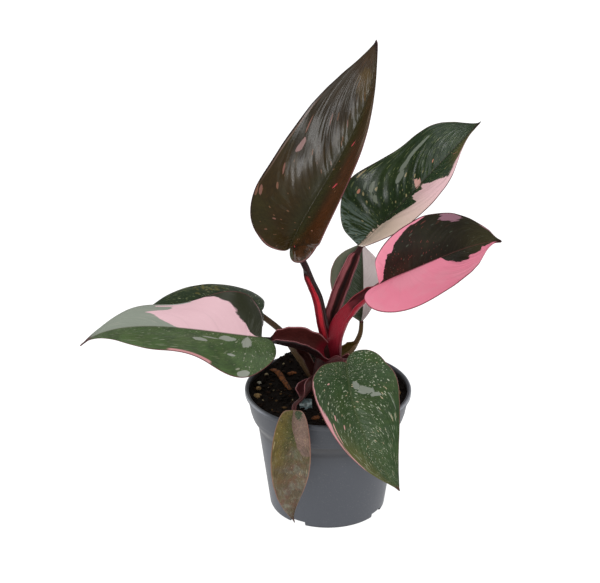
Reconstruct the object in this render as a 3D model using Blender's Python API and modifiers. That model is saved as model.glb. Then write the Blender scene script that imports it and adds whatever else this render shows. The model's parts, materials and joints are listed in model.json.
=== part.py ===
"""Potted philodendron: a young plant with eight leaves in a 12 cm nursery pot.

Units are metres in Blender and millimetres in the dimensions below.
+Z is up, the pot's base stands on z = 0 and the pot's axis is the Z axis.
"""
import math
from collections import namedtuple

import bmesh
import bpy
from mathutils import Vector, noise

MM = 0.001
GAP = 0.3                      # clearance kept between pieces that touch
NAME = "potted_philodendron"

# ---------------------------------------------------------------- pot and soil
POT_HEIGHT = 93.0
RIM_RADIUS = 60.0              # outer edge of the lip: a 12 cm pot
LIP_HEIGHT = 3.6
LIP_OVERHANG = 0.9
COLLAR_BOTTOM = 76.0           # the collar ends here and the wall slopes in
COLLAR_RADIUS = 55.8
STEP_BOTTOM = 64.0
STEP_RADIUS = 50.5
BASE_RADIUS = 42.0
WALL = 1.5
FLOOR = 1.5                    # the floor's own thickness
FOOT_HEIGHT = 3.5              # the floor is raised on a foot ring and a flat centre pad
FOOT_RING_INNER = 35.0
CENTRE_PAD_RADIUS = 14.0
POT_SIDES = 60
NOTCH_COUNT = 4                # cut-outs in the foot of the wall
NOTCH_FIRST_ANGLE = 58.0
NOTCH_WIDTH = 13.0
DRAIN_HOLES = 8
DRAIN_HOLE_RADIUS = 3.5
DRAIN_CIRCLE = 24.5

FLOOR_TOP = FOOT_HEIGHT + FLOOR

SOIL_LEVEL = 89.0
SOIL_RINGS = 9
SOIL_SIDES = 40
SOIL_ROUGHNESS = 1.3
HEAP_CENTRE = (-28.0, 44.0)    # the soil is heaped up against the back left wall
HEAP_HEIGHT = 8.5
HEAP_SPREAD = 13.0

# ---------------------------------------------------------------- stem
STEM_FOOT = 82.0               # the stem's lower end, sunk in the soil
STEM_ROUTE = ((-4, 0, STEM_FOOT), (-4, 0, 98), (-2, 0, 114), (1, 0, 126), (2, 0, 131))
STEM_RADII = (8.6, 8.2, 7.6, 7.2, 5.6)
STEM_SIDES = 20

# ---------------------------------------------------------------- leaves
# One half of a blade, seen flat. Lengths along the midrib are fractions of its length:
#   width     from the midrib to the margin at the widest place, mm
#   belly     where that widest place is
#   lobe      how far the lobe reaches back past the stalk
#   shoulder  how far out the lobe's back edge is, as a fraction of the width
#   full      how long the margin stays wide before it tapers
#   drip      length of the drawn-out tip, and neck its half width over the width
# lift and tip_lift are the fold at the midrib in degrees, at the base and at the tip,
# curl is the bend from midrib to margin, and ripple is a wave of the margin:
# height in mm, waves along the blade, and start.
Half = namedtuple("Half", "width belly lobe shoulder full drip neck lift tip_lift curl ripple")
# base and tip are the midrib's ends and rise and reach its Bezier handles, in mm.
# face and tip_face are the directions that the upper side looks in at each end.
Leaf = namedtuple("Leaf", "base rise reach tip face tip_face left right colour")

NO_RIPPLE = (0, 1, 0)
LEAVES = {
    "top": Leaf(
        (-27, -16, 209), (-20, 0, 230), (35, 20, 290), (32, 40, 340),
        (-0.1, -0.6, 0.8), (-0.5, -0.6, 0.6),
        Half(42, 0.3, 0.03, 0.3, 0.75, 0.05, 0.1, 30, 10, 15, (3, 1.25, 0.25)),
        Half(42, 0.3, 0.07, 0.3, 0.4, 0.3, 0.05, 30, 25, 30, NO_RIPPLE),
        (0.045, 0.03, 0.015)),
    "upper_right": Leaf(
        (21, 21, 195), (45, 32, 213), (85, 37, 260), (107, 49, 278),
        (-0.8, -0.4, 0.5), (-0.5, -0.5, 0.7),
        Half(37, 0.3, 0.0, 0.35, 0.8, 0.1, 0.05, 25, 15, 25, (6, 1.5, -0.1)),
        Half(36, 0.35, 0.0, 0.3, 0.6, 0.35, 0.0, 25, 5, 5, (-2, 1.25, -0.1)),
        (0.04, 0.07, 0.035)),
    "right": Leaf(
        (34, -28, 187), (60, -20, 194), (95, -10, 212), (120, -2, 208),
        (-0.3, -0.9, 0.2), (-0.15, -0.65, 0.75),
        Half(34, 0.35, 0.0, 0.5, 0.55, 0.05, 0.1, 30, 10, 15, (-2, 1.25, -0.1)),
        Half(35, 0.35, 0.15, 0.25, 0.6, 0.25, 0.05, 25, 15, 45, NO_RIPPLE),
        (0.62, 0.2, 0.28)),
    "back": Leaf(
        (24, 22, 135), (24, 40, 135), (25, 60, 165), (26, 78, 174),
        (-0.1, -0.7, 0.7), (-0.15, -0.8, 0.6),
        Half(27, 0.45, 0.0, 0.5, 0.65, 0.1, 0.1, 40, 15, 20, NO_RIPPLE),
        Half(24, 0.4, 0.0, 0.5, 0.5, 0.15, 0.05, 40, 15, 35, NO_RIPPLE),
        (0.3, 0.35, 0.27)),
    "left_front": Leaf(
        (-47, -18, 142), (-90, -18, 146), (-148, -20, 163), (-176, -10, 131),
        (0.1, -0.3, 0.9), (-0.1, -0.35, 0.9),
        Half(35, 0.15, 0.08, 0.4, 0.5, 0.2, 0.05, -5, 20, 0, (-7, 1.75, 0.1)),
        Half(33, 0.1, 0.0, 0.4, 0.5, 0.15, 0.05, 5, 0, 5, (-8, 1.75, 0.45)),
        (0.09, 0.14, 0.07)),
    "left_back": Leaf(
        (-48, 20, 145), (-85, 20, 149), (-122, 26, 142), (-147, 44, 122),
        (0, -0.2, 1.0), (-0.4, -0.4, 0.8),
        Half(32, 0.2, 0.02, 0.5, 0.45, 0.15, 0.05, 0, 10, 0, NO_RIPPLE),
        Half(32, 0.2, 0.02, 0.4, 0.5, 0.15, 0.05, -10, 10, 0, NO_RIPPLE),
        (0.06, 0.1, 0.045)),
    "right_front": Leaf(
        (12, -38, 131), (14, -46, 102), (25, -74, 82), (49, -77, 52),
        (0.05, -0.5, 0.85), (0.4, -0.9, 0.3),
        Half(35, 0.2, 0.1, 0.4, 0.5, 0.05, 0.1, 20, 10, 15, NO_RIPPLE),
        Half(35, 0.15, 0.03, 0.5, 0.45, 0.15, 0.1, 25, 10, 20, NO_RIPPLE),
        (0.07, 0.13, 0.05)),
    "small_front": Leaf(
        (-25, -52, 102), (-24, -62, 75), (-30, -76, 46), (-24, -70, 22),
        (-0.3, -0.6, 0.8), (0, -0.95, 0.2),
        Half(15, 0.35, 0.0, 0.4, 0.4, 0.2, 0.05, 15, 5, 5, NO_RIPPLE),
        Half(15, 0.4, 0.0, 0.3, 0.5, 0.1, 0.05, 15, 10, 10, NO_RIPPLE),
        (0.16, 0.12, 0.07)),
}
LEAF_THICKNESS = 0.6
LEAF_ROWS = 20                 # cross lines from the base to the tip
LEAF_COLUMNS = 3               # cells from the midrib to the margin
LOBE_SHARE = 0.16              # share of the cross lines that end on the lobe
SHOULDER_SHARE = 0.36          # share that end before the widest place
ROUNDNESS = 0.55               # handle length that makes a quarter of an ellipse

# ---------------------------------------------------------------- leaf stalks
# A station of a stalk's section, at a fraction of its route:
#   half_width and height  of the sheath's two wings, from the stalk's centre line
#   groove                 height of the bottom between the wings; a plain stalk has
#                          no wings, and its groove is the stalk's own rounded top
#   keel                   depth of the stalk below its centre line
Station = namedtuple("Station", "at half_width height groove keel")
# seat is the distance of the stalk's end below the blade's midrib, in mm
Stalk = namedtuple("Stalk", "route opening end_opening stations end_radius seat colour")
CRIMSON = (0.25, 0.012, 0.02)
MAROON = (0.1, 0.02, 0.022)
OLIVE = (0.13, 0.09, 0.035)

STALKS = {
    "right": Stalk(
        ((4, -5, 120), (5, -9, 138), (10, -12, 153), (19, -17, 166), (28, -24, 178)),
        (-0.3, -0.3, 0.2), (-0.5, -0.45, 0.7),
        (Station(0.0, 6.2, 2.0, 3.4, 5.0), Station(0.3, 6.6, 2.5, 3.0, 5.0),
         Station(0.5, 5.4, 2.5, 2.0, 4.2), Station(0.62, 4.8, 4.0, -0.8, 3.4),
         Station(0.8, 4.0, 3.2, -0.6, 2.6), Station(0.9, 2.4, 0.6, 1.4, 2.2)),
        2.0, 2.3, CRIMSON),
    "left_front": Stalk(
        ((1, -6, 118), (-5, -9, 124), (-13, -11, 130), (-22, -13, 134), (-33, -15, 137)),
        (0.3, -0.3, 0.9), (0.0, -0.2, 0.98),
        (Station(0.0, 5.0, 3.0, 0.0, 2.6), Station(0.2, 7.0, 7.0, -1.0, 3.0),
         Station(0.42, 7.4, 11.0, -1.0, 3.2), Station(0.6, 7.0, 11.8, -0.8, 3.0),
         Station(0.76, 5.4, 9.4, -0.4, 2.6), Station(0.86, 3.0, 5.0, 0.6, 2.2),
         Station(0.91, 1.9, 0.6, 1.7, 1.9)),
        1.8, 2.8, MAROON),
    "top": Stalk(
        ((1, -1, 126), (-3, -3, 142), (-7, -4, 164), (-13, -8, 181), (-18, -12, 196)),
        (-0.4, -0.9, 0.2), (-0.4, -0.8, 0.3),
        (Station(0.0, 4.6, 2.0, 0.4, 3.4), Station(0.2, 4.4, 2.4, 0.0, 3.4),
         Station(0.4, 4.2, 2.2, -0.3, 3.2), Station(0.6, 3.7, 2.0, 0.2, 2.9),
         Station(0.74, 2.9, 0.6, 1.8, 2.7)),
        2.3, 2.5, CRIMSON),
    "upper_right": Stalk(
        ((2, 3, 124), (3, 6, 145), (6, 8, 155), (11, 12, 168), (19, 17, 187)),
        (0.1, -0.95, 0.2), (0.2, -0.9, 0.3),
        (Station(0.0, 5.0, 3.0, 0.0, 3.4), Station(0.3, 5.4, 4.6, -0.8, 3.2),
         Station(0.6, 5.6, 5.4, -1.0, 3.0), Station(0.78, 4.6, 4.6, -0.6, 2.6),
         Station(0.88, 2.2, 1.0, 1.2, 2.0)),
        1.7, 2.4, MAROON),
    "right_front": Stalk(
        ((1, -3, 111), (5, -13, 118), (11, -23, 126), (12, -32, 130)),
        (0.2, -0.2, 0.95), (0.0, 0.1, 1.0),
        (Station(0.0, 6.0, 3.0, 0.0, 3.0), Station(0.25, 6.4, 4.4, -0.8, 3.0),
         Station(0.45, 5.2, 4.8, -0.6, 2.6), Station(0.58, 2.4, 1.2, 1.2, 2.2)),
        1.9, 2.3, MAROON),
    "back": Stalk(
        ((6, 3, 114), (12, 8, 115), (18, 12, 119), (23, 17, 127)),
        (-0.5, -0.4, 0.7), (-0.6, -0.6, 0.5),
        (Station(0.0, 4.4, 3.0, 0.0, 2.6), Station(0.25, 4.8, 5.0, -0.6, 2.4),
         Station(0.5, 3.8, 4.6, -0.2, 2.2), Station(0.62, 2.0, 0.6, 1.4, 2.0)),
        1.7, 1.9, OLIVE),
    "left_back": Stalk(
        ((-6, 2, 94), (-12, 5, 101), (-18, 7, 110), (-26, 9, 121), (-34, 13, 132)),
        (0.3, -0.3, 0.8), (0.3, -0.2, 0.95),
        (Station(0.0, 5.0, 3.0, 0.0, 3.2), Station(0.25, 5.4, 4.0, -0.8, 3.0),
         Station(0.5, 4.8, 5.0, -0.8, 2.9), Station(0.66, 4.2, 6.0, -0.2, 2.6),
         Station(0.76, 2.5, 0.6, 1.9, 2.5)),
        2.2, 3.0, OLIVE),
    "small_front": Stalk(
        ((-7, -3, 99), (-12, -9, 99), (-16, -20, 99), (-20, -33, 100), (-24, -45, 102)),
        (-0.7, 0.1, 0.7), (-0.2, -0.1, 1.0),
        (Station(0.0, 3.4, 2.4, 0.2, 2.2), Station(0.16, 5.0, 6.0, -0.6, 2.2),
         Station(0.32, 5.2, 7.2, -0.6, 2.1), Station(0.46, 4.0, 7.0, 0.0, 2.0),
         Station(0.54, 1.9, 0.6, 1.4, 1.8)),
        1.6, 2.4, MAROON),
}
STALK_STEPS = 20               # cross sections along a stalk
STALK_POINTS = 9               # points on the outer and on the inner side of a section
WING_RIM = 0.9                 # thickness of a wing's edge

# ---------------------------------------------------------------- loose pieces on the soil
# centre x and y, size along, across and up, turn about Z in degrees, colour
Crumb = namedtuple("Crumb", "x y long wide tall turn colour")
TAN = (0.42, 0.25, 0.1)
RUST = (0.2, 0.07, 0.02)
WHITE = (0.75, 0.72, 0.66)
CRUMBS = {
    "bark_chip_left_back": Crumb(-50, 4, 5.0, 4.0, 3.2, 20, TAN),
    "bark_chip_left": Crumb(-50, -7, 8.0, 4.6, 3.6, -25, TAN),
    "bark_chip_middle": Crumb(-26, 26, 8.0, 3.2, 3.0, 25, RUST),
    "perlite_grain_left": Crumb(-50, 14, 3.2, 2.8, 2.8, 0, WHITE),
    "bark_chip_right_back": Crumb(42, 30, 6.0, 4.5, 3.5, 60, TAN),
    "perlite_grain_right": Crumb(48, 20, 4.0, 3.4, 3.2, 15, WHITE),
    "bark_chip_right": Crumb(50, -2, 9.0, 4.5, 3.5, 70, TAN),
    "bark_chip_front": Crumb(-9, -40, 8.0, 4.0, 3.0, 35, RUST),
}
CRUMB_SINK = 0.35              # share of a crumb's height that lies in the soil
STRIP_ROUTE = ((-42, 33, 0.9), (-36, 26, 1.4), (-32, 15, 1.2), (-27, 2, 0.9))
STRIP_RADII = (1.6, 2.8, 2.6, 1.4)
STRIP_FLATNESS = 0.5
SCRAP_CENTRE = (-16.0, -23.0)  # a scrap of the plug's fleece wrapper, half buried
SCRAP_WIDTH = 9.0
SCRAP_HEIGHT = 9.0
SCRAP_SINK = 2.0
SCRAP_LEAN = 38.0
SCRAP_TURN = 12.0
SCRAP_THICKNESS = 0.5


# ================================================================ helpers
def clear_scene():
    for thing in list(bpy.data.objects):
        bpy.data.objects.remove(thing, do_unlink=True)


def new_collection(name):
    collection = bpy.data.collections.new(name)
    bpy.context.scene.collection.children.link(collection)
    return collection


def make_material(name, colour, roughness, metallic=0.0):
    material = bpy.data.materials.new(name)
    material.use_nodes = True
    shader = material.node_tree.nodes["Principled BSDF"]
    shader.inputs["Base Color"].default_value = (*colour, 1.0)
    shader.inputs["Roughness"].default_value = roughness
    shader.inputs["Metallic"].default_value = metallic
    return material


def mesh_object(name, mesh, collection, colour=None, roughness=0.5):
    piece = bpy.data.objects.new(name, mesh)
    collection.objects.link(piece)
    mesh.shade_smooth()
    mesh.set_sharp_from_angle(angle=math.radians(40))
    if colour:
        mesh.materials.clear()
        mesh.materials.append(make_material(name, colour, roughness))
    return piece


def bmesh_to_mesh(name, bm):
    bmesh.ops.recalc_face_normals(bm, faces=bm.faces)
    mesh = bpy.data.meshes.new(name)
    bm.to_mesh(mesh)
    bm.free()
    return mesh


def evaluated_mesh(piece):
    """A mesh of the piece as its modifiers leave it, in world space."""
    depsgraph = bpy.context.evaluated_depsgraph_get()
    mesh = bpy.data.meshes.new_from_object(piece.evaluated_get(depsgraph))
    mesh.transform(piece.matrix_world)
    return mesh


def grown_copy(piece, amount=GAP):
    """A cutter that is larger than the piece by the amount all round."""
    mesh = evaluated_mesh(piece)
    mesh.materials.clear()
    cutter = bpy.data.objects.new(piece.name + "_clearance", mesh)
    CUTTERS.objects.link(cutter)
    cutter.hide_render = True
    cutter.display_type = "WIRE"
    push = cutter.modifiers.new("grow", "DISPLACE")
    push.mid_level = 0.0
    push.strength = amount * MM
    return cutter


def cut(piece, cutter):
    boolean = piece.modifiers.new("clear_" + cutter.name, "BOOLEAN")
    boolean.operation = "DIFFERENCE"
    boolean.solver = "EXACT"
    boolean.object = cutter


def keep_main_body(piece):
    """Fix the piece's modifiers in its mesh and drop what they cut loose."""
    mesh = evaluated_mesh(piece)
    bm = bmesh.new()
    bm.from_mesh(mesh)
    bmesh.ops.remove_doubles(bm, verts=bm.verts, dist=0.00001)
    bmesh.ops.dissolve_degenerate(bm, edges=bm.edges, dist=0.00001)
    bodies = []
    unseen = set(bm.verts)
    while unseen:
        start = unseen.pop()
        body = {start}
        front = [start]
        while front:
            vertex = front.pop()
            for edge in vertex.link_edges:
                other = edge.other_vert(vertex)
                if other in unseen:
                    unseen.discard(other)
                    body.add(other)
                    front.append(other)
        bodies.append(body)
    bodies.sort(key=len)
    loose = [vertex for body in bodies[:-1] for vertex in body]
    bmesh.ops.delete(bm, geom=loose, context="VERTS")
    bm.to_mesh(mesh)
    bm.free()
    piece.modifiers.clear()
    piece.matrix_world.identity()
    piece.data = mesh


def bezier(points, t):
    a, b, c, d = points
    s = 1.0 - t
    return a * s ** 3 + b * (3 * s * s * t) + c * (3 * s * t * t) + d * t ** 3


def bezier_slope(points, t):
    a, b, c, d = points
    s = 1.0 - t
    return (b - a) * (3 * s * s) + (c - b) * (6 * s * t) + (d - c) * (3 * t * t)


def smooth_curve(points, t):
    """A point and its direction on a smooth curve through the points, t from 0 to 1."""
    spans = len(points) - 1
    span = min(int(t * spans), spans - 1)
    u = t * spans - span
    p1, p2 = points[span], points[span + 1]
    p0 = points[span - 1] if span > 0 else p1 * 2 - p2
    p3 = points[span + 2] if span + 2 <= spans else p2 * 2 - p1
    handles = (p1, p1 + (p2 - p0) / 6, p2 - (p3 - p1) / 6, p2)
    return bezier(handles, u), bezier_slope(handles, u).normalized()


def blend(a, b, t):
    return a + (b - a) * t


def ease(t):
    return t * t * (3 - 2 * t)


# ================================================================ pot and soil
def turned(name, profile, sides, collection):
    """A closed profile of (radius, height) points in mm, turned about the Z axis."""
    bm = bmesh.new()
    vertices = [bm.verts.new((r * MM, 0, z * MM)) for r, z in profile]
    for a, b in zip(vertices, vertices[1:]):
        bm.edges.new((a, b))
    if profile[0][0] > 0:
        bm.edges.new((vertices[-1], vertices[0]))
    mesh = bpy.data.meshes.new(name)
    bm.to_mesh(mesh)
    bm.free()
    piece = bpy.data.objects.new(name, mesh)
    collection.objects.link(piece)
    screw = piece.modifiers.new("turn", "SCREW")
    screw.steps = sides
    screw.render_steps = sides
    screw.use_merge_vertices = True
    screw.merge_threshold = 0.00001
    return piece


def wall_profile(inset):
    """The outside of the pot's wall from the lip to the foot, moved in by the inset."""
    lip_bottom = POT_HEIGHT - LIP_HEIGHT
    return [
        (RIM_RADIUS - LIP_OVERHANG - inset, lip_bottom),
        (RIM_RADIUS - 2.6 - inset, lip_bottom - 5),
        (COLLAR_RADIUS - inset, COLLAR_BOTTOM),
        (blend(COLLAR_RADIUS, STEP_RADIUS, 0.55) - inset, blend(COLLAR_BOTTOM, STEP_BOTTOM, 0.42)),
        (STEP_RADIUS - inset, STEP_BOTTOM),
    ]


def make_pot(parts):
    inner = RIM_RADIUS - LIP_OVERHANG - WALL
    profile = [(inner + 0.4, POT_HEIGHT), (RIM_RADIUS - 0.5, POT_HEIGHT),
               (RIM_RADIUS, POT_HEIGHT - 0.6), (RIM_RADIUS - 0.2, POT_HEIGHT - LIP_HEIGHT)]
    profile += wall_profile(0)
    profile += [(BASE_RADIUS + 0.3, 2.5), (BASE_RADIUS - 0.8, 0), (FOOT_RING_INNER, 0),
                (FOOT_RING_INNER - 0.5, FOOT_HEIGHT), (CENTRE_PAD_RADIUS + 0.5, FOOT_HEIGHT),
                (CENTRE_PAD_RADIUS, 0), (0, 0), (0, FLOOR_TOP)]
    profile += [(BASE_RADIUS - WALL - 1.5, FLOOR_TOP), (BASE_RADIUS - WALL + 0.2, FLOOR_TOP + 2)]
    profile += list(reversed(wall_profile(WALL)))
    profile += [(inner, POT_HEIGHT - 0.5), (inner + 0.4, POT_HEIGHT)]
    pot = turned("nursery_pot", roll_to_axis(profile), POT_SIDES, parts)
    pot.data.materials.append(make_material("nursery_pot", (0.105, 0.11, 0.13), 0.42))
    for index in range(NOTCH_COUNT):
        angle = math.radians(NOTCH_FIRST_ANGLE + 360 / NOTCH_COUNT * index)
        cut(pot, notch_cutter(index, angle))
    for index in range(DRAIN_HOLES):
        cut(pot, drain_cutter(index, 2 * math.pi * (index + 0.5) / DRAIN_HOLES))
    return pot


def roll_to_axis(profile):
    """Start a profile that meets the axis at its upper axis point, so it need not close."""
    start = profile.index((0, FLOOR_TOP))
    return profile[start:-1] + profile[:start]


def notch_cutter(index, angle):
    bpy.ops.mesh.primitive_cube_add(size=1)
    cutter = bpy.context.object
    cutter.name = f"foot_notch_{index + 1}"
    cutter.scale = (14 * MM, NOTCH_WIDTH * MM, 2 * FOOT_HEIGHT * MM)
    reach = FOOT_RING_INNER + 6
    cutter.location = (reach * math.cos(angle) * MM, reach * math.sin(angle) * MM, 0)
    cutter.rotation_euler.z = angle
    return as_cutter(cutter)


def drain_cutter(index, angle):
    bpy.ops.mesh.primitive_cylinder_add(
        vertices=16, radius=DRAIN_HOLE_RADIUS * MM, depth=4 * FLOOR_TOP * MM,
        location=(DRAIN_CIRCLE * math.cos(angle) * MM, DRAIN_CIRCLE * math.sin(angle) * MM, 0))
    cutter = bpy.context.object
    cutter.name = f"drain_hole_{index + 1}"
    return as_cutter(cutter)


def as_cutter(piece):
    for collection in list(piece.users_collection):
        collection.objects.unlink(piece)
    CUTTERS.objects.link(piece)
    piece.hide_render = True
    piece.display_type = "WIRE"
    return piece


def soil_height(x, y):
    """Height of the soil's surface in mm, above a point in mm."""
    distance = math.hypot(x - HEAP_CENTRE[0], y - HEAP_CENTRE[1])
    heap = HEAP_HEIGHT * math.exp(-(distance / HEAP_SPREAD) ** 2)
    lumps = noise.noise(Vector((x / 7, y / 7, 0.3))) + 0.5 * noise.noise(Vector((x / 3, y / 3, 4.1)))
    return SOIL_LEVEL + heap + SOIL_ROUGHNESS * lumps


def make_soil(parts):
    edge = RIM_RADIUS - LIP_OVERHANG - WALL - GAP - 1.2
    profile = [(edge * ring / SOIL_RINGS, SOIL_LEVEL) for ring in range(SOIL_RINGS + 1)]
    profile += [point for point in wall_profile(WALL + GAP) if point[1] < SOIL_LEVEL - 3]
    profile += [(BASE_RADIUS - WALL + 0.2 - GAP, FLOOR_TOP + 2),
                (BASE_RADIUS - WALL - 1.5 - GAP, FLOOR_TOP + GAP), (0, FLOOR_TOP + GAP)]
    soil = turned("potting_soil", profile, SOIL_SIDES, parts)
    mesh = evaluated_mesh(soil)
    soil.modifiers.clear()
    for vertex in mesh.vertices:
        if vertex.co.z > (SOIL_LEVEL - 1) * MM:
            x, y = vertex.co.x / MM, vertex.co.y / MM
            vertex.co.z = soil_height(x, y) * MM
    soil.data = mesh
    mesh.materials.append(make_material("potting_soil", (0.012, 0.008, 0.006), 0.95))
    return soil


# ================================================================ stem and stalks
def make_stem(parts):
    """A tapering tube through the route's points, closed at both ends."""
    data = bpy.data.curves.new("stem", "CURVE")
    data.dimensions = "3D"
    data.bevel_depth = MM
    data.bevel_resolution = STEM_SIDES // 4 - 1
    data.use_fill_caps = True
    spline = data.splines.new("POLY")
    steps = 4 * (len(STEM_ROUTE) - 1)
    spline.points.add(steps)
    route = [Vector(point) for point in STEM_ROUTE]
    for index in range(steps + 1):
        t = index / steps
        point, _ = smooth_curve(route, t)
        span = min(int(t * (len(route) - 1)), len(route) - 2)
        share = t * (len(route) - 1) - span
        spline.points[index].co = (*(point * MM), 1)
        spline.points[index].radius = blend(STEM_RADII[span], STEM_RADII[span + 1], share)
    curve = bpy.data.objects.new("stem_route", data)
    parts.objects.link(curve)
    mesh = evaluated_mesh(curve)
    bpy.data.objects.remove(curve)
    bm = bmesh.new()
    bm.from_mesh(mesh)
    bmesh.ops.remove_doubles(bm, verts=bm.verts, dist=0.00001)
    return mesh_object("stem", bmesh_to_mesh("stem", bm), parts, (0.06, 0.016, 0.014))


def station_at(stations, t):
    """The section's measures at t, eased between the two stations around it."""
    if t <= stations[0].at:
        return stations[0]
    for a, b in zip(stations, stations[1:]):
        if t <= b.at:
            share = ease((t - a.at) / (b.at - a.at))
            return Station(t, *(blend(u, v, share) for u, v in zip(a[1:], b[1:])))
    return stations[-1]


def section(station, margin_mm):
    """Outer side from one wing's edge under the keel to the other, then back inside."""
    outer, inner = [], []
    inside = station.half_width - WING_RIM - margin_mm
    station = Station(station.at, *(measure + margin_mm for measure in station[1:]))
    for index in range(STALK_POINTS):
        angle = math.pi * index / (STALK_POINTS - 1)
        drop = math.sin(angle)
        outer.append((station.half_width * math.cos(angle),
                      station.height - (station.height + station.keel) * drop))
        inner.append((inside * math.cos(angle),
                      station.height - (station.height - station.groove) * drop))
    return outer, inner


def make_stalk(name, stalk, leaf, collection, margin_mm=0.0):
    """A loft along the route: a sheath at the stem that narrows to a round stalk."""
    along = (Vector(leaf.rise) - Vector(leaf.base)).normalized()
    up = Vector(leaf.face)
    up = (up - along * up.dot(along)).normalized()
    seat = Vector(leaf.base) - up * stalk.seat + along * 2
    route = [Vector(point) for point in stalk.route] + [seat]
    round_end = Station(1.0, stalk.end_radius, 0.0, stalk.end_radius, stalk.end_radius)
    stations = stalk.stations + (round_end,)
    opening, end_opening = Vector(stalk.opening), Vector(stalk.end_opening)
    bm = bmesh.new()
    rings = []
    for step in range(STALK_STEPS + 1):
        t = step / STALK_STEPS
        centre, direction = smooth_curve(route, t)
        if step in (0, STALK_STEPS):
            centre = centre + direction * (margin_mm if step else -margin_mm)
        normal = opening.lerp(end_opening, t)
        normal = (normal - direction * normal.dot(direction)).normalized()
        across = direction.cross(normal)
        outer, inner = section(station_at(stations, t), margin_mm)
        ring = []
        for side in (outer, inner):
            ring.append([bm.verts.new((centre + across * x + normal * y) * MM) for x, y in side])
        rings.append(ring)
    for (outer, inner), (next_outer, next_inner) in zip(rings, rings[1:]):
        for index in range(STALK_POINTS - 1):
            bm.faces.new((outer[index], outer[index + 1], next_outer[index + 1], next_outer[index]))
            bm.faces.new((inner[index], next_inner[index], next_inner[index + 1], inner[index + 1]))
        for end in (0, -1):
            bm.faces.new((outer[end], next_outer[end], next_inner[end], inner[end]))
    for outer, inner in (rings[0], rings[-1]):
        for index in range(STALK_POINTS - 1):
            bm.faces.new((outer[index], outer[index + 1], inner[index + 1], inner[index]))
    return mesh_object(name, bmesh_to_mesh(name, bm), collection, stalk.colour, 0.4)


# ================================================================ leaves
def margin(half, u):
    """A margin point for u from 0 at the stalk to 1 at the tip: fractions along and across."""
    side = half.belly - (half.belly + half.lobe) * ROUNDNESS
    rise = half.shoulder + (1 - half.shoulder) * ROUNDNESS
    lobe = [(0, 0), (-0.75 * half.lobe, 0.02), (-half.lobe, 0.45 * half.shoulder),
            (-half.lobe, half.shoulder)]
    shoulder = [(-half.lobe, half.shoulder), (-half.lobe, rise), (side, 1), (half.belly, 1)]
    taper = [(half.belly, 1), (half.belly + (1 - half.belly) * half.full, 1),
             (1 - half.drip, half.neck), (1, 0)]
    if u < LOBE_SHARE:
        curve, t = lobe, u / LOBE_SHARE
    elif u < SHOULDER_SHARE:
        curve, t = shoulder, (u - LOBE_SHARE) / (SHOULDER_SHARE - LOBE_SHARE)
    else:
        curve, t = taper, (u - SHOULDER_SHARE) / (1 - SHOULDER_SHARE)
    return bezier([Vector(point) for point in curve], t)


def midrib_share(half, u):
    """Where on the midrib the cross line to margin point u starts."""
    start = 0.75 * half.belly
    if u < SHOULDER_SHARE:
        return start * (u / SHOULDER_SHARE) ** 1.3
    along, across = margin(half, u)
    return along - 0.25 * half.belly * across


def blade_point(leaf, half, side, along, across):
    """A point of the upper surface: along as a fraction, across in mm, side -1 or 1."""
    handles = [Vector(point) for point in (leaf.base, leaf.rise, leaf.reach, leaf.tip)]
    t = min(max(along, 0.0), 1.0)
    centre = bezier(handles, t)
    direction = bezier_slope(handles, min(t, 0.999)).normalized()
    if along < 0:
        centre = centre + direction * along * blade_length(leaf)
    up = Vector(leaf.face).normalized().lerp(Vector(leaf.tip_face).normalized(), ease(t))
    up = (up - direction * up.dot(direction)).normalized()
    sideways = direction.cross(up)
    share = across / half.width
    bend = math.radians(half.curl) * share / 2
    angle = math.radians(blend(half.lift, half.tip_lift, t)) + bend
    chord = across * (math.sin(bend) / bend if abs(bend) > 1e-6 else 1.0)
    height, waves, start = half.ripple
    wave = height * math.sin(2 * math.pi * (waves * along + start)) * min(share, 1.3) ** 2
    return centre + sideways * (side * chord * math.cos(angle)) + up * (chord * math.sin(angle) + wave)


def blade_length(leaf):
    handles = [Vector(point) for point in (leaf.base, leaf.rise, leaf.reach, leaf.tip)]
    points = [bezier(handles, step / 24) for step in range(25)]
    return sum((b - a).length for a, b in zip(points, points[1:]))


def make_leaf(name, leaf, parts):
    """The blade's upper surface as a fan of cross lines, thickened downwards."""
    bm = bmesh.new()
    base = bm.verts.new(Vector(leaf.base) * MM)
    tip = bm.verts.new(Vector(leaf.tip) * MM)
    rib_shares = [step / LEAF_ROWS for step in range(1, LEAF_ROWS)]
    midrib = {}
    for side, half in ((-1, leaf.left), (1, leaf.right)):
        rows = []
        for u in rib_shares:
            rib = blend(midrib_share(leaf.left, u), midrib_share(leaf.right, u), 0.5)
            edge_along, edge_across = margin(half, u)
            if u not in midrib:
                midrib[u] = bm.verts.new(blade_point(leaf, half, side, rib, 0) * MM)
            row = [midrib[u]]
            for column in range(1, LEAF_COLUMNS + 1):
                share = column / LEAF_COLUMNS
                along = blend(rib, edge_along, share)
                across = edge_across * half.width * share
                row.append(bm.verts.new(blade_point(leaf, half, side, along, across) * MM))
            rows.append(row)
        for column in range(LEAF_COLUMNS):
            bm.faces.new(in_order((base, rows[0][column], rows[0][column + 1]), side))
            for row, further in zip(rows, rows[1:]):
                corners = (row[column], further[column], further[column + 1], row[column + 1])
                bm.faces.new(in_order(corners, side))
            bm.faces.new(in_order((rows[-1][column], tip, rows[-1][column + 1]), side))
    mesh = bpy.data.meshes.new(name)
    bm.to_mesh(mesh)
    bm.free()
    piece = mesh_object(name, mesh, parts, leaf.colour, 0.35)
    shell = piece.modifiers.new("thickness", "SOLIDIFY")
    shell.thickness = LEAF_THICKNESS * MM
    shell.offset = -1
    return piece


def in_order(corners, side):
    """The corners so that the face looks up on either side of the midrib."""
    return corners if side < 0 else tuple(reversed(corners))


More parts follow.
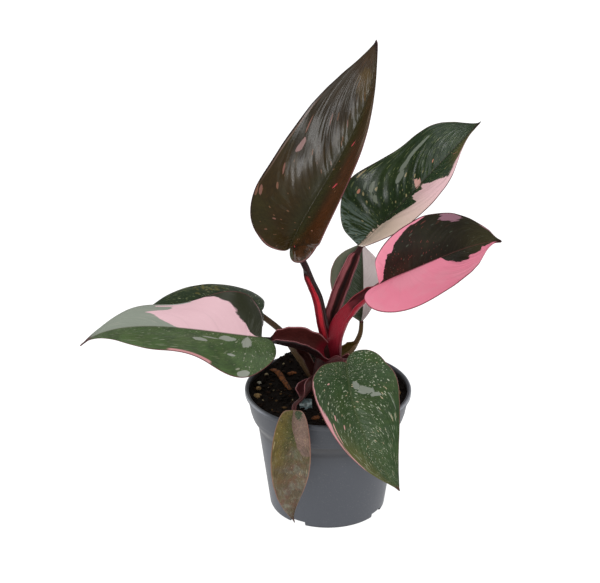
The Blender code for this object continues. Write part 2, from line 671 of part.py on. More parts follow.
# ================================================================ loose pieces on the soil
def make_crumb(name, crumb, seed, parts):
    """A squashed, uneven pebble of bark or perlite, part sunk in the soil."""
    bm = bmesh.new()
    bmesh.ops.create_icosphere(bm, subdivisions=2, radius=0.5)
    for vertex in bm.verts:
        vertex.co *= 1 + 0.35 * noise.noise(vertex.co * 2.1 + Vector((seed, 0, 0)))
    mesh = bmesh_to_mesh(name, bm)
    piece = mesh_object(name, mesh, parts, crumb.colour, 0.8)
    piece.scale = (crumb.long * MM, crumb.wide * MM, crumb.tall * MM)
    piece.rotation_euler = (0.15, 0.1, math.radians(crumb.turn))
    height = soil_height(crumb.x, crumb.y) + crumb.tall * (0.5 - CRUMB_SINK)
    piece.location = (crumb.x * MM, crumb.y * MM, height * MM)
    return piece


def make_bark_strip(parts):
    """A splinter of bark that lies on the soil: a flattened tapering tube."""
    route = [Vector(point) for point in STRIP_ROUTE]
    bm = bmesh.new()
    rings = []
    steps = 10
    for step in range(steps + 1):
        t = step / steps
        point, direction = smooth_curve(route, t)
        span = min(int(t * (len(route) - 1)), len(route) - 2)
        radius = blend(STRIP_RADII[span], STRIP_RADII[span + 1], t * (len(route) - 1) - span)
        radius *= 1 + 0.2 * noise.noise(point / 4)
        centre = Vector((point.x, point.y, soil_height(point.x, point.y) + point.z))
        across = Vector((-direction.y, direction.x, 0)).normalized()
        ring = []
        for corner in range(8):
            angle = 2 * math.pi * corner / 8
            offset = across * math.cos(angle) + Vector((0, 0, STRIP_FLATNESS * math.sin(angle)))
            ring.append(bm.verts.new((centre + offset * radius) * MM))
        rings.append(ring)
    bmesh.ops.contextual_create(bm, geom=rings[0])
    bmesh.ops.contextual_create(bm, geom=rings[-1])
    for ring, further in zip(rings, rings[1:]):
        for corner in range(8):
            after = (corner + 1) % 8
            bm.faces.new((ring[corner], ring[after], further[after], further[corner]))
    return mesh_object("bark_strip", bmesh_to_mesh("bark_strip", bm), parts, RUST, 0.8)


def make_wrapper_scrap(parts):
    """A thin curved scrap that stands out of the soil."""
    bpy.ops.mesh.primitive_grid_add(x_subdivisions=6, y_subdivisions=4, size=1)
    piece = bpy.context.object
    piece.name = "wrapper_scrap"
    for collection in list(piece.users_collection):
        collection.objects.unlink(piece)
    parts.objects.link(piece)
    for vertex in piece.data.vertices:
        x, y = vertex.co.x * SCRAP_WIDTH, vertex.co.y * SCRAP_HEIGHT
        ragged = 1.0 + 0.12 * noise.noise(Vector((x, y, 2)))
        vertex.co = Vector((x * ragged, y, 1.2 * math.cos(x / SCRAP_WIDTH * 3))) * MM
    piece.rotation_euler = (math.radians(90 - SCRAP_LEAN), 0, math.radians(SCRAP_TURN))
    rise = SCRAP_HEIGHT * math.cos(math.radians(SCRAP_LEAN)) / 2 - SCRAP_SINK
    x, y = SCRAP_CENTRE
    piece.location = (x * MM, y * MM, (soil_height(x, y) + rise) * MM)
    shell = piece.modifiers.new("thickness", "SOLIDIFY")
    shell.thickness = SCRAP_THICKNESS * MM
    shell.offset = 0
    piece.data.materials.append(make_material("wrapper_scrap", (0.55, 0.65, 0.66), 0.35))
    return piece


# ================================================================ assembly
clear_scene()
PARTS = new_collection(NAME)
CUTTERS = new_collection(NAME + "_cutters")

make_pot(PARTS)
soil_piece = make_soil(PARTS)
stem_piece = make_stem(PARTS)

for place, blade in LEAVES.items():
    make_leaf("leaf_" + place, blade, PARTS)

# each stalk gives way to the stem and to the stalks before it
crown = [grown_copy(stem_piece)]
for place, plan in STALKS.items():
    stalk_piece = make_stalk("stalk_" + place, plan, LEAVES[place], PARTS)
    for neighbour in crown:
        cut(stalk_piece, neighbour)
    keep_main_body(stalk_piece)
    clearance = make_stalk("clearance_" + place, plan, LEAVES[place], CUTTERS, GAP)
    crown.append(as_cutter(clearance))

# the soil has a seat for everything that stands or lies in it
cut(soil_piece, crown[0])
for number, (label, crumb_plan) in enumerate(CRUMBS.items()):
    cut(soil_piece, grown_copy(make_crumb(label, crumb_plan, number * 3.7, PARTS)))
cut(soil_piece, grown_copy(make_bark_strip(PARTS)))
cut(soil_piece, grown_copy(make_wrapper_scrap(PARTS)))
keep_main_body(soil_piece)
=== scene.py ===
import json
import math
import random
from collections import namedtuple

import bmesh
import bpy
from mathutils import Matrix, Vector, noise


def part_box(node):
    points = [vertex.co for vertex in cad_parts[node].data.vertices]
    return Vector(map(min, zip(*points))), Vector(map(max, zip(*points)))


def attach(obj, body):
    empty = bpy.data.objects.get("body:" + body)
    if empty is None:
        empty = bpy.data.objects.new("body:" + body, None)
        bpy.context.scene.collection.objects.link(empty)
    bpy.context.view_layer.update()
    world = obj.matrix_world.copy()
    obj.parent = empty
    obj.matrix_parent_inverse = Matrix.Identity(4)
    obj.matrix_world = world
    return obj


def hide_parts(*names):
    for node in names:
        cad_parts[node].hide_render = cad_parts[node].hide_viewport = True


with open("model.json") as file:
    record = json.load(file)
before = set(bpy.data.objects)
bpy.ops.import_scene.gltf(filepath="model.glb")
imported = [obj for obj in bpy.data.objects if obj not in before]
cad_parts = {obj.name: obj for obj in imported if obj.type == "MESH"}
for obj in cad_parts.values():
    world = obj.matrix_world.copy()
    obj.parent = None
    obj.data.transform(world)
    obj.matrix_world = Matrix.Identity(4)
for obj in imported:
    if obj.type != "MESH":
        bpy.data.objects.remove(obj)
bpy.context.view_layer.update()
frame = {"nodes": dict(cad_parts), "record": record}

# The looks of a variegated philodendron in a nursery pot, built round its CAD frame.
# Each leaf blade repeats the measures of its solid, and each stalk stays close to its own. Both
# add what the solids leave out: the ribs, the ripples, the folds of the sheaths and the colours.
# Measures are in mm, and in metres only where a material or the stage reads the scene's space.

MM = 0.001
MERGE_DISTANCE = 0.01 * MM


# ================================================================ helpers for materials
def linear(colour):
    """A colour given as a screen shows it, 0 to 255, as the linear numbers of a shader."""
    return tuple(((part / 255 + 0.055) / 1.055) ** 2.4 for part in colour)


def plug(socket, value):
    """Link a Value to the socket, or set a plain number or colour."""
    if isinstance(value, Value):
        socket.id_data.links.new(value.socket, socket)
    elif socket.type == "RGBA":
        socket.default_value = (*value, 1.0)
    else:
        socket.default_value = value


class Value:
    """A number, vector or colour in a material's node tree; arithmetic adds Math nodes."""

    def __init__(self, socket):
        self.socket = socket

    def node(self, kind, inputs, **settings):
        made = self.socket.id_data.nodes.new(kind)
        for key, setting in settings.items():
            setattr(made, key, setting)
        for key, value in inputs.items():
            plug(made.inputs[key], value)
        return made

    def math(self, operation, other=0.0):
        return Value(self.node("ShaderNodeMath", {0: self, 1: other}, operation=operation).outputs[0])

    def __add__(self, other):
        return self.math("ADD", other)

    def __sub__(self, other):
        return self.math("SUBTRACT", other)

    def __mul__(self, other):
        return self.math("MULTIPLY", other)

    def __abs__(self):
        return self.math("ABSOLUTE")

    def least(self, other):
        return self.math("MINIMUM", other)

    def most(self, other):
        return self.math("MAXIMUM", other)

    def between(self, low, high, start=0.0, end=1.0):
        """From start to end in a smooth step, as the value goes from low to high."""
        inputs = {0: self, 1: low, 2: high, 3: start, 4: end}
        return Value(self.node("ShaderNodeMapRange", inputs, interpolation_type="SMOOTHSTEP").outputs[0])

    def above(self, edge, soft=0.02):
        return (self - edge).between(-soft, soft)

    def below(self, edge, soft=0.02):
        return (self - edge).between(-soft, soft, 1.0, 0.0)

    def split(self):
        return [Value(out) for out in self.node("ShaderNodeSeparateXYZ", {0: self}).outputs]

    def noise(self, scale=1.0, detail=2.0, roughness=0.5):
        """Smooth noise at this point, about 0 to 1."""
        inputs = {"Vector": self, "Scale": scale, "Detail": detail, "Roughness": roughness}
        return Value(self.node("ShaderNodeTexNoise", inputs).outputs[0])

    def cells(self, scale=1.0):
        """Distance to the nearest of many scattered points, and that point's random number."""
        made = self.node("ShaderNodeTexVoronoi", {"Vector": self, "Scale": scale})
        return Value(made.outputs["Distance"]), Value(made.outputs["Color"]).split()[0]


class Paint:
    """A material whose colour is built up in layers, from the ground up."""

    def __init__(self, name, ground, roughness=0.4, specular=0.5):
        self.material = bpy.data.materials.new(name)
        self.material.use_nodes = True
        self.tree = self.material.node_tree
        self.shader = self.tree.nodes["Principled BSDF"]
        self.shader.inputs["Specular IOR Level"].default_value = specular
        plug(self.shader.inputs["Roughness"], roughness)
        self.colour = linear(ground)

    def attribute(self, name):
        made = self.tree.nodes.new("ShaderNodeAttribute")
        made.attribute_name = name
        return Value(made.outputs["Vector"])

    def place(self):
        """The point in the part's own space, in metres."""
        return Value(self.tree.nodes.new("ShaderNodeTexCoord").outputs["Object"])

    def point(self, x, y, z=0.0):
        made = self.tree.nodes.new("ShaderNodeCombineXYZ")
        for socket, value in zip(made.inputs, (x, y, z)):
            plug(socket, value)
        return Value(made.outputs[0])

    def layer(self, mask, colour):
        made = self.tree.nodes.new("ShaderNodeMix")
        made.data_type = "RGBA"
        plug(made.inputs[0], mask)
        plug(made.inputs[6], self.colour)
        plug(made.inputs[7], linear(colour))
        self.colour = Value(made.outputs[2])

    def tone(self, amount):
        """Multiply the colour by a value near 1."""
        made = self.tree.nodes.new("ShaderNodeVectorMath")
        made.operation = "SCALE"
        plug(made.inputs[0], self.colour)
        plug(made.inputs["Scale"], amount)
        self.colour = Value(made.outputs[0])

    def relief(self, height, depth_mm):
        made = self.tree.nodes.new("ShaderNodeBump")
        made.inputs["Distance"].default_value = depth_mm * MM
        plug(made.inputs["Height"], height)
        self.tree.links.new(made.outputs[0], self.shader.inputs["Normal"])

    def rough(self, value):
        plug(self.shader.inputs["Roughness"], value)

    def done(self):
        plug(self.shader.inputs["Base Color"], self.colour)
        return self.material


# ================================================================ helpers for meshes
def bezier(points, t):
    a, b, c, d = points
    s = 1.0 - t
    return a * s ** 3 + b * (3 * s * s * t) + c * (3 * s * t * t) + d * t ** 3


def bezier_slope(points, t):
    a, b, c, d = points
    s = 1.0 - t
    return (b - a) * (3 * s * s) + (c - b) * (6 * s * t) + (d - c) * (3 * t * t)


def smooth_curve(points, t):
    """A point and its direction on a smooth curve through the points, t from 0 to 1."""
    spans = len(points) - 1
    span = min(int(t * spans), spans - 1)
    u = t * spans - span
    p1, p2 = points[span], points[span + 1]
    p0 = points[span - 1] if span > 0 else p1 * 2 - p2
    p3 = points[span + 2] if span + 2 <= spans else p2 * 2 - p1
    handles = (p1, p1 + (p2 - p0) / 6, p2 - (p3 - p1) / 6, p2)
    return bezier(handles, u), bezier_slope(handles, u).normalized()


def blend(a, b, t):
    return a + (b - a) * t


def ease(t):
    return t * t * (3 - 2 * t)


def step(value, low, high):
    return ease(min(max((value - low) / (high - low), 0.0), 1.0))


def square_to(direction, vector):
    """The part of a vector that is square to the direction, with length 1."""
    return (vector - direction * vector.dot(direction)).normalized()


def linked(name, data):
    """A new object in the scene that holds the data."""
    made = bpy.data.objects.new(name, data)
    bpy.context.scene.collection.objects.link(made)
    return made


def piece_from(name, points, faces, attributes=()):
    """A smooth mesh object from points in mm, with named vectors kept at its points."""
    mesh = bpy.data.meshes.new(name)
    mesh.from_pydata([point * MM for point in points], [], faces)
    for label, values in attributes:
        layer = mesh.attributes.new(label, "FLOAT_VECTOR", "POINT")
        layer.data.foreach_set("vector", [part for value in values for part in value])
    mesh.shade_smooth()
    return linked(name, mesh)


def stands_for(piece, node, materials):
    """The piece takes the place of the CAD node of that name."""
    for material in materials:
        piece.data.materials.append(material)
    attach(piece, "root")
    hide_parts(node)


SLOTS = {part["node"]: part["material_slot"] for part in frame["record"]["subparts"]}


# ================================================================ leaf blades
# The measures of a blade are those of its solid. Each half of a blade has its own margin,
# seen flat, as fractions of the midrib's length (belly, lobe, drip) and of the half's width
# (shoulder, neck); lift, tip_lift, curl and ripple bend it out of the flat.
Half = namedtuple("Half", "width belly lobe shoulder full drip neck lift tip_lift curl ripple")
Leaf = namedtuple("Leaf", "base rise reach tip face tip_face left right")
NO_RIPPLE = (0, 1, 0)
LEAVES = {
    "top": Leaf(
        (-27, -16, 209), (-20, 0, 230), (35, 20, 290), (32, 40, 340),
        (-0.1, -0.6, 0.8), (-0.5, -0.6, 0.6),
        Half(42, 0.3, 0.03, 0.3, 0.75, 0.05, 0.1, 30, 10, 15, (3, 1.25, 0.25)),
        Half(42, 0.3, 0.07, 0.3, 0.4, 0.3, 0.05, 30, 25, 30, NO_RIPPLE)),
    "upper_right": Leaf(
        (21, 21, 195), (45, 32, 213), (85, 37, 260), (107, 49, 278),
        (-0.8, -0.4, 0.5), (-0.5, -0.5, 0.7),
        Half(37, 0.3, 0.0, 0.35, 0.8, 0.1, 0.05, 25, 15, 25, (6, 1.5, -0.1)),
        Half(36, 0.35, 0.0, 0.3, 0.6, 0.35, 0.0, 25, 5, 5, (-2, 1.25, -0.1))),
    "right": Leaf(
        (34, -28, 187), (60, -20, 194), (95, -10, 212), (120, -2, 208),
        (-0.3, -0.9, 0.2), (-0.15, -0.65, 0.75),
        Half(34, 0.35, 0.0, 0.5, 0.55, 0.05, 0.1, 30, 10, 15, (-2, 1.25, -0.1)),
        Half(35, 0.35, 0.15, 0.25, 0.6, 0.25, 0.05, 25, 15, 45, NO_RIPPLE)),
    "back": Leaf(
        (24, 22, 135), (24, 40, 135), (25, 60, 165), (26, 78, 174),
        (-0.1, -0.7, 0.7), (-0.15, -0.8, 0.6),
        Half(27, 0.45, 0.0, 0.5, 0.65, 0.1, 0.1, 40, 15, 20, NO_RIPPLE),
        Half(24, 0.4, 0.0, 0.5, 0.5, 0.15, 0.05, 40, 15, 35, NO_RIPPLE)),
    "left_front": Leaf(
        (-47, -18, 142), (-90, -18, 146), (-148, -20, 163), (-176, -10, 131),
        (0.1, -0.3, 0.9), (-0.1, -0.35, 0.9),
        Half(35, 0.15, 0.08, 0.4, 0.5, 0.2, 0.05, -5, 20, 0, (-7, 1.75, 0.1)),
        Half(33, 0.1, 0.0, 0.4, 0.5, 0.15, 0.05, 5, 0, 5, (-8, 1.75, 0.45))),
    "left_back": Leaf(
        (-48, 20, 145), (-85, 20, 149), (-122, 26, 142), (-147, 44, 122),
        (0, -0.2, 1.0), (-0.4, -0.4, 0.8),
        Half(32, 0.2, 0.02, 0.5, 0.45, 0.15, 0.05, 0, 10, 0, NO_RIPPLE),
        Half(32, 0.2, 0.02, 0.4, 0.5, 0.15, 0.05, -10, 10, 0, NO_RIPPLE)),
    "right_front": Leaf(
        (12, -38, 131), (14, -46, 102), (25, -74, 82), (49, -77, 52),
        (0.05, -0.5, 0.85), (0.4, -0.9, 0.3),
        Half(35, 0.2, 0.1, 0.4, 0.5, 0.05, 0.1, 20, 10, 15, NO_RIPPLE),
        Half(35, 0.15, 0.03, 0.5, 0.45, 0.15, 0.1, 25, 10, 20, NO_RIPPLE)),
    "small_front": Leaf(
        (-25, -52, 102), (-24, -62, 75), (-30, -76, 46), (-24, -70, 22),
        (-0.3, -0.6, 0.8), (0, -0.95, 0.2),
        Half(15, 0.35, 0.0, 0.4, 0.4, 0.2, 0.05, 15, 5, 5, NO_RIPPLE),
        Half(15, 0.4, 0.0, 0.3, 0.5, 0.1, 0.05, 15, 10, 10, NO_RIPPLE)),
}
LEAF_ROWS = 84                 # cross lines from the base to the tip
RIB_COLUMNS = (0.0, 0.012, 0.028, 0.05, 0.08, 0.115)
EDGE_COLUMNS = (0.93, 0.96, 0.98, 1.0)
FIELD_COLUMNS = 15
LOBE_SHARE = 0.16              # share of the cross lines that end on the lobe
SHOULDER_SHARE = 0.36          # share that end before the widest place
SLANT = 0.25                   # how far the cross lines run forward, as a share of the belly
SLANT_POWER = 1.3              # crowds the first cross lines towards the base
ROUNDNESS = 0.55               # handle length that makes a quarter of an ellipse
LENGTH_STEPS = 24              # straight steps that measure a midrib
BLADE_THICKNESS = 0.45
RIB_THICKNESS = 1.5
RIB_HALF_WIDTH = 1.1
RIB_TAPER = 0.75               # share of the rib's extra thickness that is gone at the tip
GROOVE_DEPTH = 0.45
GROOVE_TAPER = 0.7
SIDE_VEINS = 11                # pairs of side veins, which show as shallow furrows
FURROW_DEPTH = 0.11
SWELL_HEIGHT = 0.8             # slow, uneven swells of the surface
SWELL_WIDTH = 24
SWELL_LENGTH = 30
EDGE_DROOP = 0.35
CROWN_HEIGHT = 1.3             # each half is a little domed between its rib and its margin
MARGIN_WOBBLE = 0.018          # unevenness of the margin, as a share of the half's width
WOBBLES = 15                   # bumps of that unevenness along a margin
END_ROUNDING = 1.2             # how far behind its very end a tip has its full width
# the drawn-out end of each blade: its half width in mm, and how fast it flares behind the end
TIPS = {
    "top": (1.1, 0.20), "upper_right": (0.40, 0.15), "right": (1.2, 0.10), "back": (0.5, 0.3),
    "left_front": (0.7, 0.05), "left_back": (0.5, 0.2), "right_front": (0.6, 0.2),
    "small_front": (0.4, 0.12),
}
FIELD = [blend(RIB_COLUMNS[-1], EDGE_COLUMNS[0], (column + 1) / (FIELD_COLUMNS + 1))
         for column in range(FIELD_COLUMNS)]
SHARES = list(RIB_COLUMNS) + FIELD + list(EDGE_COLUMNS)


def margin(half, u):
    """A margin point for u from 0 at the stalk to 1 at the tip: fractions along and across."""
    side = half.belly - (half.belly + half.lobe) * ROUNDNESS
    rise = half.shoulder + (1 - half.shoulder) * ROUNDNESS
    if u < LOBE_SHARE:
        t = u / LOBE_SHARE
        curve = [(0, 0), (-0.75 * half.lobe, 0.02), (-half.lobe, 0.45 * half.shoulder),
                 (-half.lobe, half.shoulder)]
    elif u < SHOULDER_SHARE:
        t = (u - LOBE_SHARE) / (SHOULDER_SHARE - LOBE_SHARE)
        curve = [(-half.lobe, half.shoulder), (-half.lobe, rise), (side, 1), (half.belly, 1)]
    else:
        t = (u - SHOULDER_SHARE) / (1 - SHOULDER_SHARE)
        curve = [(half.belly, 1), (half.belly + (1 - half.belly) * half.full, 1),
                 (1 - half.drip, half.neck), (1, 0)]
    return bezier([Vector(point) for point in curve], t)


def midrib_share(half, u):
    """Where on the midrib the cross line to margin point u starts."""
    if u < SHOULDER_SHARE:
        return (1 - SLANT) * half.belly * (u / SHOULDER_SHARE) ** SLANT_POWER
    along, across = margin(half, u)
    return along - SLANT * half.belly * across


def rib_profile(across):
    """1 over the midrib, falling to 0 beside it."""
    return math.exp(-(across / RIB_HALF_WIDTH) ** 2)


class Blade:
    """The upper surface of a blade, as a fan of cross lines from the midrib to the margins."""

    def __init__(self, place, leaf, seed):
        self.place, self.leaf, self.seed = place, leaf, seed
        self.handles = [Vector(point) for point in leaf[:4]]
        midrib = [bezier(self.handles, index / LENGTH_STEPS) for index in range(LENGTH_STEPS + 1)]
        self.length = sum((b - a).length for a, b in zip(midrib, midrib[1:]))
        self.points = [Vector(leaf.base), Vector(leaf.tip)]
        self.faces = []
        self.thickness = [0.5, 0.3]
        # what the paint reads: (share, u, mm across) and (mm across, mm along, seed)
        self.blade = [(0.0, 0.0, 0.0), (0.0, 1.0, 0.0)]
        self.sheet = [(0.0, 0.0, seed), (0.0, self.length, seed)]

    def surface(self, half, side, along, across, relief):
        """A point of the surface: along as a fraction, across in mm, side -1 or 1."""
        t = min(max(along, 0.0), 1.0)
        centre = bezier(self.handles, t)
        direction = bezier_slope(self.handles, min(t, 0.999)).normalized()
        if along < 0:
            centre = centre + direction * along * self.length
        face, tip_face = Vector(self.leaf.face), Vector(self.leaf.tip_face)
        up = square_to(direction, face.normalized().lerp(tip_face.normalized(), ease(t)))
        sideways = direction.cross(up)
        share = across / half.width
        bend = math.radians(half.curl) * share / 2
        angle = math.radians(blend(half.lift, half.tip_lift, t)) + bend
        chord = across * (math.sin(bend) / bend if abs(bend) > 1e-6 else 1.0)
        height, waves, start = half.ripple
        wave = height * math.sin(2 * math.pi * (waves * along + start)) * min(share, 1.3) ** 2
        lift = chord * math.sin(angle) + wave + relief
        return centre + sideways * (side * chord * math.cos(angle)) + up * lift

    def relief(self, side, u, share, along, across):
        """Height of the fine shape above the plain blade, in mm."""
        fade = step(u, 0.0, 0.08) * step(1 - u, 0.0, 0.06)
        place = Vector((side * across / SWELL_WIDTH, along * self.length / SWELL_LENGTH, self.seed))
        swell = SWELL_HEIGHT * noise.noise(place) * step(across, 1, 12) * (1 - 0.4 * share)
        crown = CROWN_HEIGHT * math.sin(math.pi * share) * step(across, 0, 18)
        furrow = math.cos(2 * math.pi * SIDE_VEINS * u + 2 * share) ** 3
        furrow *= FURROW_DEPTH * step(across, 1, 6) * (1 - step(share, 0.8, 1.0))
        groove = GROOVE_DEPTH * rib_profile(across) * (1 - GROOVE_TAPER * u)
        return (swell + crown + furrow) * fade - groove * fade - EDGE_DROOP * step(share, 0.9, 1.0) * fade

    def reach(self, half, side, u):
        """Width of a half in mm: a little uneven at the margin, and thin at the drawn-out end."""
        along, across = margin(half, u)
        wobble = 1 + noise.noise(Vector((u * WOBBLES, side * 3, self.seed)))
        width = across * half.width * (1 - MARGIN_WOBBLE * wobble * step(u, 0.05, 0.3))
        if u < SHOULDER_SHARE:
            return width
        end_width, flare = TIPS[self.place]
        from_end = max(1 - along, 0.0) * self.length
        end_reach = end_width * step(from_end, 0.0, END_ROUNDING)
        return max(min(width, end_width + flare * from_end ** 2), end_reach)

    def cross_line(self, half, side, u, rib_points):
        """Adds one row of points. Its first point, on the midrib, is shared by both halves."""
        rib = blend(midrib_share(self.leaf.left, u), midrib_share(self.leaf.right, u), 0.5)
        edge_along = margin(half, u)[0]
        reach = self.reach(half, side, u)
        row = []
        for share in SHARES:
            if share == 0 and u in rib_points:
                row.append(rib_points[u])
                continue
            along, across = blend(rib, edge_along, share), reach * share
            relief = self.relief(side, u, share, along, across)
            row.append(len(self.points))
            self.points.append(self.surface(half, side, along, across, relief))
            self.blade.append((side * share, u, across))
            self.sheet.append((side * across, along * self.length, self.seed))
            rib_part = rib_profile(across) * (1 - RIB_TAPER * along)
            self.thickness.append(blend(BLADE_THICKNESS / RIB_THICKNESS, 1.0, rib_part))
        rib_points[u] = row[0]
        return row

    def half_faces(self, rows, side):
        """Adds the faces between the rows, closed to a point at the base and at the tip."""
        for column in range(len(SHARES) - 1):
            corners = [(0, rows[0][column], rows[0][column + 1])]
            for row, further in zip(rows, rows[1:]):
                corners.append((row[column], further[column], further[column + 1], row[column + 1]))
            corners.append((rows[-1][column], 1, rows[-1][column + 1]))
            self.faces += [face if side < 0 else face[::-1] for face in corners]


def make_leaf(place, leaf, seed, materials):
    """The upper surface, thickened downwards, most along the midrib."""
    blade = Blade(place, leaf, seed)
    rib_points = {}
    for side, half in ((-1, leaf.left), (1, leaf.right)):
        rows = [blade.cross_line(half, side, row / LEAF_ROWS, rib_points) for row in range(1, LEAF_ROWS)]
        blade.half_faces(rows, side)
    attributes = (("blade", blade.blade), ("sheet", blade.sheet))
    piece = piece_from("blade_" + place, blade.points, blade.faces, attributes)
    group = piece.vertex_groups.new(name="thickness")
    for index, weight in enumerate(blade.thickness):
        group.add([index], weight, "REPLACE")
    shell = piece.modifiers.new("thickness", "SOLIDIFY")
    shell.thickness = RIB_THICKNESS * MM
    shell.offset = -1
    shell.vertex_group = group.name
    shell.material_offset = 1
    shell.material_offset_rim = 2
    stands_for(piece, "leaf_" + place, materials)


# ================================================================ leaf colours
VEIN_TURN = 0.3                # where along the blade the side veins start to sweep forward
VEIN_SWEEP = 2.2
BLADE_SPAN = (150.0, 38.0)     # about the mm from base to tip, and from midrib to margin
HALVES_APART = 40.0            # keeps the strokes of one half off the other half
DASH_ROOM = (0.10, 0.34)       # half the size of the smallest and the largest dash, in cells


def vein_bow(out):
    """How far forward a side vein has run, from 0 at the midrib."""
    return out * 0.1 + out * out * 0.28


class LeafPaint(Paint):
    """Adds a blade's own places: share is -1 to 1 from margin to margin, u 0 to 1."""

    def __init__(self, name, ground, seed, specular=0.5):
        super().__init__(name, ground, 0.36, specular)
        self.share, self.u, self.across = self.attribute("blade").split()
        self.sheet = self.attribute("sheet")
        self.out = abs(self.share)
        self.side = self.share.above(0.0, 0.001)
        # along a side vein this first number stays the same
        self.vein_u = self.u - (self.u - VEIN_TURN).most(0.0) * VEIN_SWEEP * vein_bow(self.out)
        # about in mm: across the veins, along the veins
        self.vein = self.point(
            self.vein_u * BLADE_SPAN[0], self.out * BLADE_SPAN[1], self.side * 9.3 + seed)
        self.teeth = self.vein_noise(0.45, 0.12, 0.0, 4.0)
        self.warp = self.vein_noise(0.9, 0.5, 5.0, 3.0)

    def vein_noise(self, across, along, seed, detail=3.0):
        """Noise round 0, with its own scale across and along the side veins."""
        x, y, z = self.vein.split()
        return self.point(x * across, y * along, z + seed).noise(1.0, detail, 0.6) - 0.5

    def curve(self, x, points):
        """A line through the points, for x from 0 to 1."""
        made = x.node("ShaderNodeFloatCurve", {"Value": x})
        line = made.mapping.curves[0]
        made.mapping.clip_min_y, made.mapping.clip_max_y = -2.0, 2.0
        made.mapping.use_clip = False
        while len(line.points) < len(points):
            line.points.new(0.5, 0.5)
        for place, (at, value) in zip(line.points, points):
            place.location = (at, value)
            place.handle_type = "VECTOR"
        made.mapping.update()
        return Value(made.outputs[0])

    def past_share(self, points, ragged=0.3):
        """Where the share is past a line drawn through (u, share) points."""
        return (self.share - self.curve(self.u, points) + self.teeth * ragged).above(0.0, 0.02)

    def past_u(self, points, ragged=0.06):
        """Where u is past a line drawn through (out, u) points, the same on both halves."""
        return (self.u - self.curve(self.out, points) + self.teeth * ragged).above(0.0, 0.003)

    def strokes(self, places, width, length):
        """Streaks along the veins, in mm, round some places given as (share, u)."""
        x, y, _ = self.vein.split()
        spread = self.warp * 0.9 + self.teeth * 0.5
        near = self.point(x * (2 / width) + spread, y * (2 / length) + spread, self.side * HALVES_APART)
        nearest = None
        for share, u in places:
            out = abs(share)
            vein_u = u - VEIN_SWEEP * max(u - VEIN_TURN, 0) * vein_bow(out)
            made = near.node("ShaderNodeVectorMath", {0: near}, operation="DISTANCE")
            made.inputs[1].default_value = (vein_u * BLADE_SPAN[0] * 2 / width,
                                            out * BLADE_SPAN[1] * 2 / length, HALVES_APART * (share > 0))
            distance = Value(made.outputs["Value"])
            nearest = nearest.least(distance) if nearest else distance
        return nearest.below(1.0, 0.12)

    def dashes(self, width, length, amount, seed):
        """Scattered streaks along the veins, in mm; amount is the share of places that hold one."""
        x, y, z = self.vein.split()
        spread = self.warp * 0.7
        where = self.point(x * (0.5 / width) + spread, y * (0.5 / length) + spread, z + seed)
        distance, chance = where.cells()
        room = chance.between(1 - amount, 1.0, *DASH_ROOM)
        return (distance - room).below(0.0, 0.05) * chance.above(1 - amount, 0.001)

    def patch(self, share, u, half_share, half_u, ragged=1.2):
        """A ragged spot round a place on the blade."""
        x = (self.share - share) * (1 / half_share)
        y = (self.u - u) * (1 / half_u)
        distance = (x * x + y * y).math("SQRT")
        return (distance + self.teeth * ragged).below(1.0, 0.06)

    def cloud(self, scale, seed, low=0.45, high=0.65):
        x, y, z = self.sheet.split()
        return self.point(x, y, z + seed).noise(scale, 3.0, 0.6).between(low, high)

    def grain(self, amount):
        """Uneven depth of colour: broad clouds, and fine streaks along the veins."""
        clouds = self.sheet.noise(0.07, 3.0, 0.6) - 0.5
        streaks = self.vein_noise(1.1, 0.2, 2.0) + self.vein_noise(2.6, 0.7, 4.0, 2.0)
        self.tone((clouds + streaks) * amount + 1.0)

    def ribs(self, colour, strength=0.5, width=0.5):
        """The midrib and faint side veins."""
        self.layer(abs(self.across).below(width, width * 0.6) * strength, colour)
        wave = (self.vein_u * 13.0).math("FRACT") - 0.5
        self.layer(abs(wave).below(0.03, 0.03) * self.out.between(0.95, 0.3) * (strength * 0.1), colour)

    def edge(self, colour, width=0.02, strength=1.0):
        self.layer(self.out.above(1 - width, width * 0.5) * strength, colour)

    def tip(self, colour, start=0.94):
        self.layer(self.u.above(start, 0.03), colour)

    def skin(self, depth=0.5, gloss=0.34):
        """Long swellings between the veins and a faint grain; both break the gloss."""
        swell = self.vein_noise(0.22, 0.045, 3.0, 1.0)
        streak = self.vein_noise(0.9, 0.1, 6.0, 2.0)
        fine = self.sheet.noise(0.9, 3.0, 0.6) - 0.5
        self.rough(fine * 0.24 + gloss)
        self.relief(swell + streak * 0.04 + fine * 0.012, depth)


